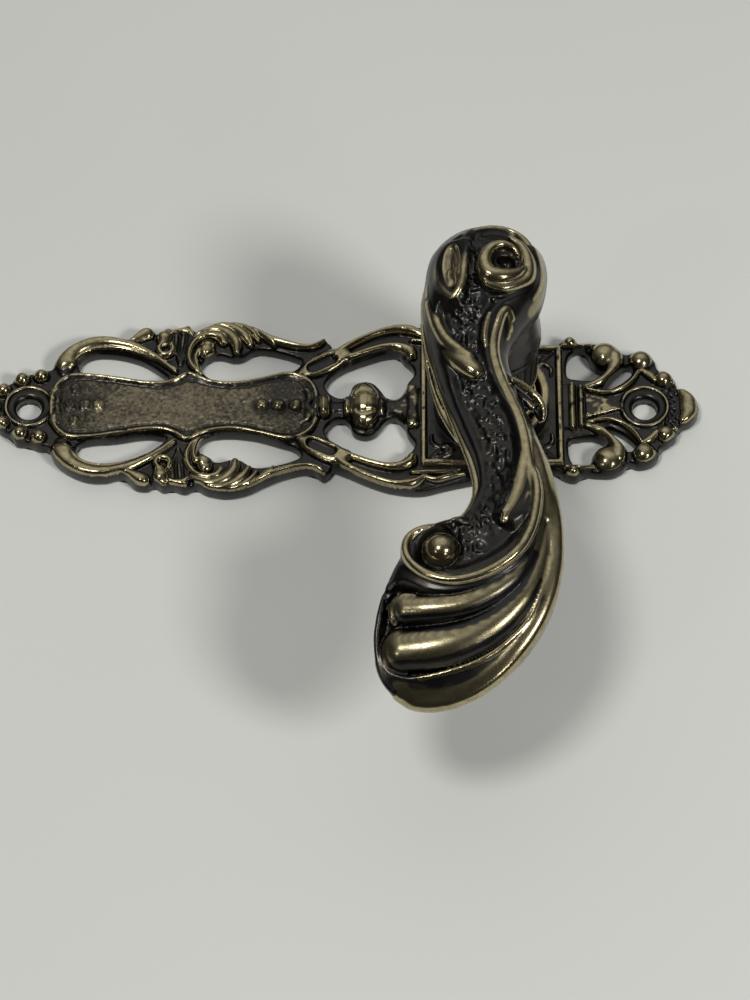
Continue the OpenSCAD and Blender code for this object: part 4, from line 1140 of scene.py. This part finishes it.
def make_ferrule(material):
    """The fluted collar: a beaded rim below, flutes above."""
    low, high = FERRULE[0][2], FERRULE[1][2]
    outer = FERRULE[1][0]
    flutes = 30
    per_flute = 14
    n = flutes * per_flute
    a = np.linspace(0, 2 * math.pi, n, endpoint=False)
    u = np.abs((a * flutes / (2 * math.pi)) % 1 - 0.5) * 2
    valley = np.sqrt(np.clip(1 - (u / 0.82) ** 2, 0, 1))
    beads = 0.1 * np.abs(np.cos(a * flutes))
    barrel = outer - 0.25
    inner = 8.0
    rings = [ring_points(np.full(n, inner), low, a), ring_points(np.full(n, outer - 0.25), low, a)]
    rings += [ring_points(outer - 0.1 - beads, low + 0.12, a),
            ring_points(outer - beads, low + 0.45, a), ring_points(outer - 0.1 - beads, low + 0.78, a),
            ring_points(np.full(n, barrel - 0.12), low + 0.95, a)]
    for z, share in ((1.1, 0), (1.3, 0.55), (1.5, 0.85), (1.9, 1), (4, 1), (7, 1), (9.2, 1), (9.6, 0.95)):
        rings.append(ring_points(barrel - 0.46 * share * valley, low + z, a))
    rings += [ring_points(barrel - 0.1 - 0.36 * valley, high, a), ring_points(np.full(n, inner), high, a)]
    points, quads = stack_rings(rings, closed_stack=True)
    depth = np.hypot(points[:, 0], points[:, 1])
    raised = 0.12 + 0.5 * smooth_step(depth, barrel - 0.2, barrel) + 0.3 * (points[:, 2] < low + 0.9)
    masks = {"raised": raised, "stipple": np.zeros(len(points))}
    return make_piece("neck_collar", points, [quads], material, "lever",
                      ("neck_ferrule",), masks)


# ------------------------------------------------------------------ materials

class Paint:
    """Builds one procedural material around a Principled shader."""

    def __init__(self, name, **constants):
        self.material = bpy.data.materials.new(name)
        self.material.use_nodes = True
        self.tree = self.material.node_tree
        self.shader = self.tree.nodes["Principled BSDF"]
        for key, value in constants.items():
            self.shader.inputs[key.replace("_", " ")].default_value = value
        self.place = self.node("ShaderNodeTexCoord").outputs["Object"]

    def node(self, kind, **settings):
        made = self.tree.nodes.new(kind)
        for key, value in settings.items():
            setattr(made, key, value)
        return made

    def put(self, socket, value):
        if isinstance(value, bpy.types.NodeSocket):
            self.tree.links.new(value, socket)
        else:
            socket.default_value = value

    def noise(self, size_mm, detail=3.0, rough=0.55, stretch=(1, 1, 1)):
        shift = self.node("ShaderNodeMapping")
        shift.inputs["Scale"].default_value = [s / (size_mm * MM) for s in stretch]
        self.put(shift.inputs["Vector"], self.place)
        made = self.node("ShaderNodeTexNoise")
        made.inputs["Scale"].default_value = 1
        made.inputs["Detail"].default_value = detail
        made.inputs["Roughness"].default_value = rough
        self.put(made.inputs["Vector"], shift.outputs["Vector"])
        return made.outputs["Fac"]

    def layer(self, name):
        return self.node("ShaderNodeAttribute", attribute_name=name).outputs["Fac"]

    def sum(self, a, b, scale=1.0):
        """a + b * scale."""
        made = self.node("ShaderNodeMath", operation="MULTIPLY_ADD")
        self.put(made.inputs[0], b)
        self.put(made.inputs[1], scale)
        self.put(made.inputs[2], a)
        return made.outputs[0]

    def times(self, a, b):
        made = self.node("ShaderNodeMath", operation="MULTIPLY")
        self.put(made.inputs[0], a)
        self.put(made.inputs[1], b)
        return made.outputs[0]

    def spread(self, value, low, high, to_low=0.0, to_high=1.0):
        made = self.node("ShaderNodeMapRange", interpolation_type="SMOOTHSTEP")
        self.put(made.inputs["Value"], value)
        for key, number in (("From Min", low), ("From Max", high), ("To Min", to_low), ("To Max", to_high)):
            made.inputs[key].default_value = number
        return made.outputs["Result"]

    def mix(self, share, a, b):
        made = self.node("ShaderNodeMix", data_type="RGBA")
        self.put(made.inputs["Factor"], share)
        self.put(made.inputs[6], (*a, 1) if isinstance(a, tuple) else a)
        self.put(made.inputs[7], (*b, 1) if isinstance(b, tuple) else b)
        return made.outputs[2]

    def finish(self, colour, roughness, height=None, depth_mm=0.05, strength=1.0):
        self.put(self.shader.inputs["Base Color"], colour)
        self.put(self.shader.inputs["Roughness"], roughness)
        if height is not None:
            bump = self.node("ShaderNodeBump")
            bump.inputs["Distance"].default_value = depth_mm * MM
            bump.inputs["Strength"].default_value = strength
            self.put(bump.inputs["Height"], height)
            self.put(self.shader.inputs["Normal"], bump.outputs["Normal"])
        return self.material


BRASS_LIGHT = (0.50, 0.435, 0.27)
BRASS_DEEP = (0.31, 0.27, 0.15)
PATINA = (0.034, 0.034, 0.0345)
PATINA_BROWN = (0.058, 0.053, 0.043)
GROUND = (0.265, 0.228, 0.155)


def antique_brass(name, wear_low, wear_high, ragged):
    """Polished brass on the raised places, dark lacquered patina in the hollows."""
    p = Paint(name, Metallic=1.0, Coat_Weight=0.3, Coat_Roughness=0.12)
    clouds = p.noise(7, 4)
    smear = p.noise(1.3, 5, 0.65)
    speck = p.noise(0.35, 2)
    raised = p.layer("raised")
    wear = p.sum(raised, p.sum(clouds, -0.5), 0.7 * ragged)
    wear = p.sum(wear, p.sum(smear, -0.5), ragged)
    wear = p.sum(wear, p.sum(speck, -0.5), 0.4 * ragged)
    worn = p.spread(wear, wear_low, wear_high)
    brass = p.mix(p.spread(smear, 0.35, 0.7), BRASS_LIGHT, BRASS_DEEP)
    dark = p.mix(p.spread(clouds, 0.4, 0.75), PATINA, PATINA_BROWN)
    colour = p.mix(worn, dark, brass)
    stipple = p.layer("stipple")
    mottle = p.sum(p.sum(p.noise(0.42, 4, 0.7), p.sum(clouds, -0.5), 0.6), p.sum(raised, -0.4), 0.55)
    ground = p.mix(p.spread(mottle, 0.3, 0.74), PATINA_BROWN, GROUND)
    colour = p.mix(p.times(stipple, 0.95), colour, ground)
    roughness = p.spread(wear, wear_low, wear_high + 0.15, 0.33, 0.19)
    roughness = p.sum(roughness, p.sum(smear, -0.5), 0.1)
    roughness = p.sum(roughness, stipple, 0.22)
    height = p.sum(p.times(smear, 0.6), speck, 0.4)
    return p.finish(colour, roughness, height, 0.06, 0.22)


def metal(name, light, dark, roughness, grain_mm=1.2, stretch=(1, 1, 1), depth_mm=0.02):
    """A plain working metal with faint stains and tool marks."""
    p = Paint(name, Metallic=1.0)
    stain = p.noise(4, 4)
    grain = p.noise(grain_mm, 3, 0.6, stretch)
    colour = p.mix(p.spread(stain, 0.3, 0.7), light, dark)
    rough = p.sum(p.spread(grain, 0.2, 0.8, roughness - 0.06, roughness + 0.08), p.sum(stain, -0.5), 0.12)
    return p.finish(colour, rough, grain, depth_mm, 0.5)


def nylon():
    p = Paint("nylon", Specular_IOR_Level=0.45, Subsurface_Weight=0.1)
    stain = p.noise(3, 3)
    fine = p.noise(0.4, 2)
    colour = p.mix(p.spread(stain, 0.35, 0.7), (0.72, 0.7, 0.62), (0.6, 0.57, 0.48))
    return p.finish(colour, p.spread(fine, 0.3, 0.7, 0.4, 0.55), fine, 0.02, 0.4)


def tabletop():
    p = Paint("tabletop")
    broad = p.noise(300, 3)
    fine = p.noise(2, 2)
    colour = p.mix(p.spread(broad, 0.3, 0.7), (0.654, 0.666, 0.65), (0.63, 0.641, 0.627))
    return p.finish(colour, p.spread(fine, 0.2, 0.8, 0.5, 0.6), fine, 0.02, 0.1)


def dress_cad_nodes():
    bronze = metal("bush_bronze", (0.62, 0.43, 0.2), (0.45, 0.3, 0.13), 0.3, 0.6, (1, 1, 6))
    spring = metal("spring_steel", (0.42, 0.42, 0.41), (0.3, 0.3, 0.29), 0.28)
    plated = metal("plated_steel", (0.62, 0.61, 0.57), (0.5, 0.48, 0.42), 0.34)
    black = metal("black_steel", (0.09, 0.09, 0.09), (0.05, 0.05, 0.05), 0.4)
    dressing = {
        "neck_bush": bronze, "thrust_washer": nylon(), "wave_washer": spring, "return_spring": spring,
        "spring_driver": plated, "spring_cover": plated, "cover_screws": plated, "retaining_ring": black,
        "grub_screw": black,
    }
    for name, material in dressing.items():
        node = frame["nodes"][name]
        if not node.material_slots:
            node.data.materials.append(material)
        for slot in node.material_slots:
            slot.material = material


# ------------------------------------------------------------------ floor, light and camera

def make_floor():
    half = 1.6
    steps = np.linspace(-half, half, 9)
    gx, gy = np.meshgrid(steps, steps, indexing="ij")
    points = np.column_stack([gx.ravel(), gy.ravel() + 0.4, np.full(gx.size, PLATE[0][2] * MM - 2e-5)])
    index = np.arange(gx.size).reshape(gx.shape)
    quads = np.stack([index[:-1, :-1], index[1:, :-1], index[1:, 1:], index[:-1, 1:]], -1).reshape(-1, 4)
    mesh = bpy.data.meshes.new("table")
    mesh.from_pydata(points.tolist(), [], quads.tolist())
    mesh.materials.append(tabletop())
    floor = bpy.data.objects.new("table", mesh)
    bpy.context.scene.collection.objects.link(floor)


def soft_light(name, direction, distance, size, power, colour, mirrored=True):
    """A round lamp aimed at the object. Unmirrored, it lights surfaces without showing in the metal."""
    light = bpy.data.lights.new(name, "AREA")
    light.shape = "DISK"
    light.size = size
    light.energy = power
    light.color = colour
    lamp = bpy.data.objects.new(name, light)
    away = Vector(direction).normalized()
    lamp.location = away * distance
    lamp.rotation_euler = away.to_track_quat("Z", "Y").to_euler()
    lamp.visible_glossy = mirrored
    bpy.context.scene.collection.objects.link(lamp)


def room_light():
    """A plain room: dim all round, with a pale lit patch of ceiling and wall beyond the object."""
    world = bpy.data.worlds.new("room")
    bpy.context.scene.world = world
    world.use_nodes = True
    tree = world.node_tree
    sky = tree.nodes["Background"]
    place = tree.nodes.new("ShaderNodeTexCoord")
    towards = tree.nodes.new("ShaderNodeVectorMath")
    towards.operation = "DOT_PRODUCT"
    towards.inputs[1].default_value = (0, 0.6, 0.8)
    ramp = tree.nodes.new("ShaderNodeValToRGB")
    tree.links.new(place.outputs["Generated"], towards.inputs[0])
    tree.links.new(towards.outputs["Value"], ramp.inputs["Fac"])
    tree.links.new(ramp.outputs["Color"], sky.inputs["Color"])
    stops = [(0.0, 0.03), (0.55, 0.045), (0.8, 0.2), (0.9, 0.45), (1.0, 0.68)]
    elements = ramp.color_ramp.elements
    while len(elements) < len(stops):
        elements.new(0.5)
    for element, (at, level) in zip(elements, stops):
        element.position = at
        element.color = (level, level * 0.985, level * 0.94, 1)
    sky.inputs["Strength"].default_value = 1.0


def make_camera():
    data = bpy.data.cameras.new("camera")
    data.sensor_width = 36
    data.lens = 170.3
    camera = bpy.data.objects.new("camera", data)
    camera.location = (-0.02484, -0.5663, 0.8387)
    camera.rotation_euler = Euler((math.radians(33), 0, 0))
    bpy.context.scene.collection.objects.link(camera)
    bpy.context.scene.camera = camera


# ------------------------------------------------------------------ the object

def make_backplate(material):
    points, faces, smooth_count, masks = plate_mesh()
    return make_piece("openwork_plate", points, faces, material, "plate", ("backplate",),
                      masks, flat_from=smooth_count)


make_camera()
make_floor()
soft_light("broad_left", (-0.27, -0.19, 0.94), 1.5, 0.34, 4.9, (1, 0.985, 0.95))
soft_light("broad_right", (0.54, -0.46, 0.71), 1.25, 0.28, 2.6, (1, 0.985, 0.95))
soft_light("fill_left", (-0.27, -0.19, 0.94), 1.5, 0.34, 3.3, (1, 0.985, 0.95), mirrored=False)
soft_light("fill_right", (0.54, -0.46, 0.71), 1.25, 0.28, 5.0, (1, 0.985, 0.95), mirrored=False)
soft_light("spot_left", (-0.53, -0.50, 0.66), 1.5, 0.14, 0.5, (1, 0.97, 0.9))
soft_light("spot_right", (0.46, -0.72, 0.5), 1.5, 0.14, 0.5, (1, 0.97, 0.9))
room_light()
bpy.context.scene.view_settings.view_transform = "Standard"

plate_metal = antique_brass("antique_brass_plate", 0.44, 0.74, 0.36)
lever_metal = antique_brass("antique_brass_lever", 0.42, 0.72, 0.22)
collar_metal = antique_brass("dark_brass", 0.55, 0.85, 0.3)
make_backplate(plate_metal)
make_lever_grip(lever_metal)
make_neck(lever_metal)
make_ferrule(collar_metal)
dress_cad_nodes()
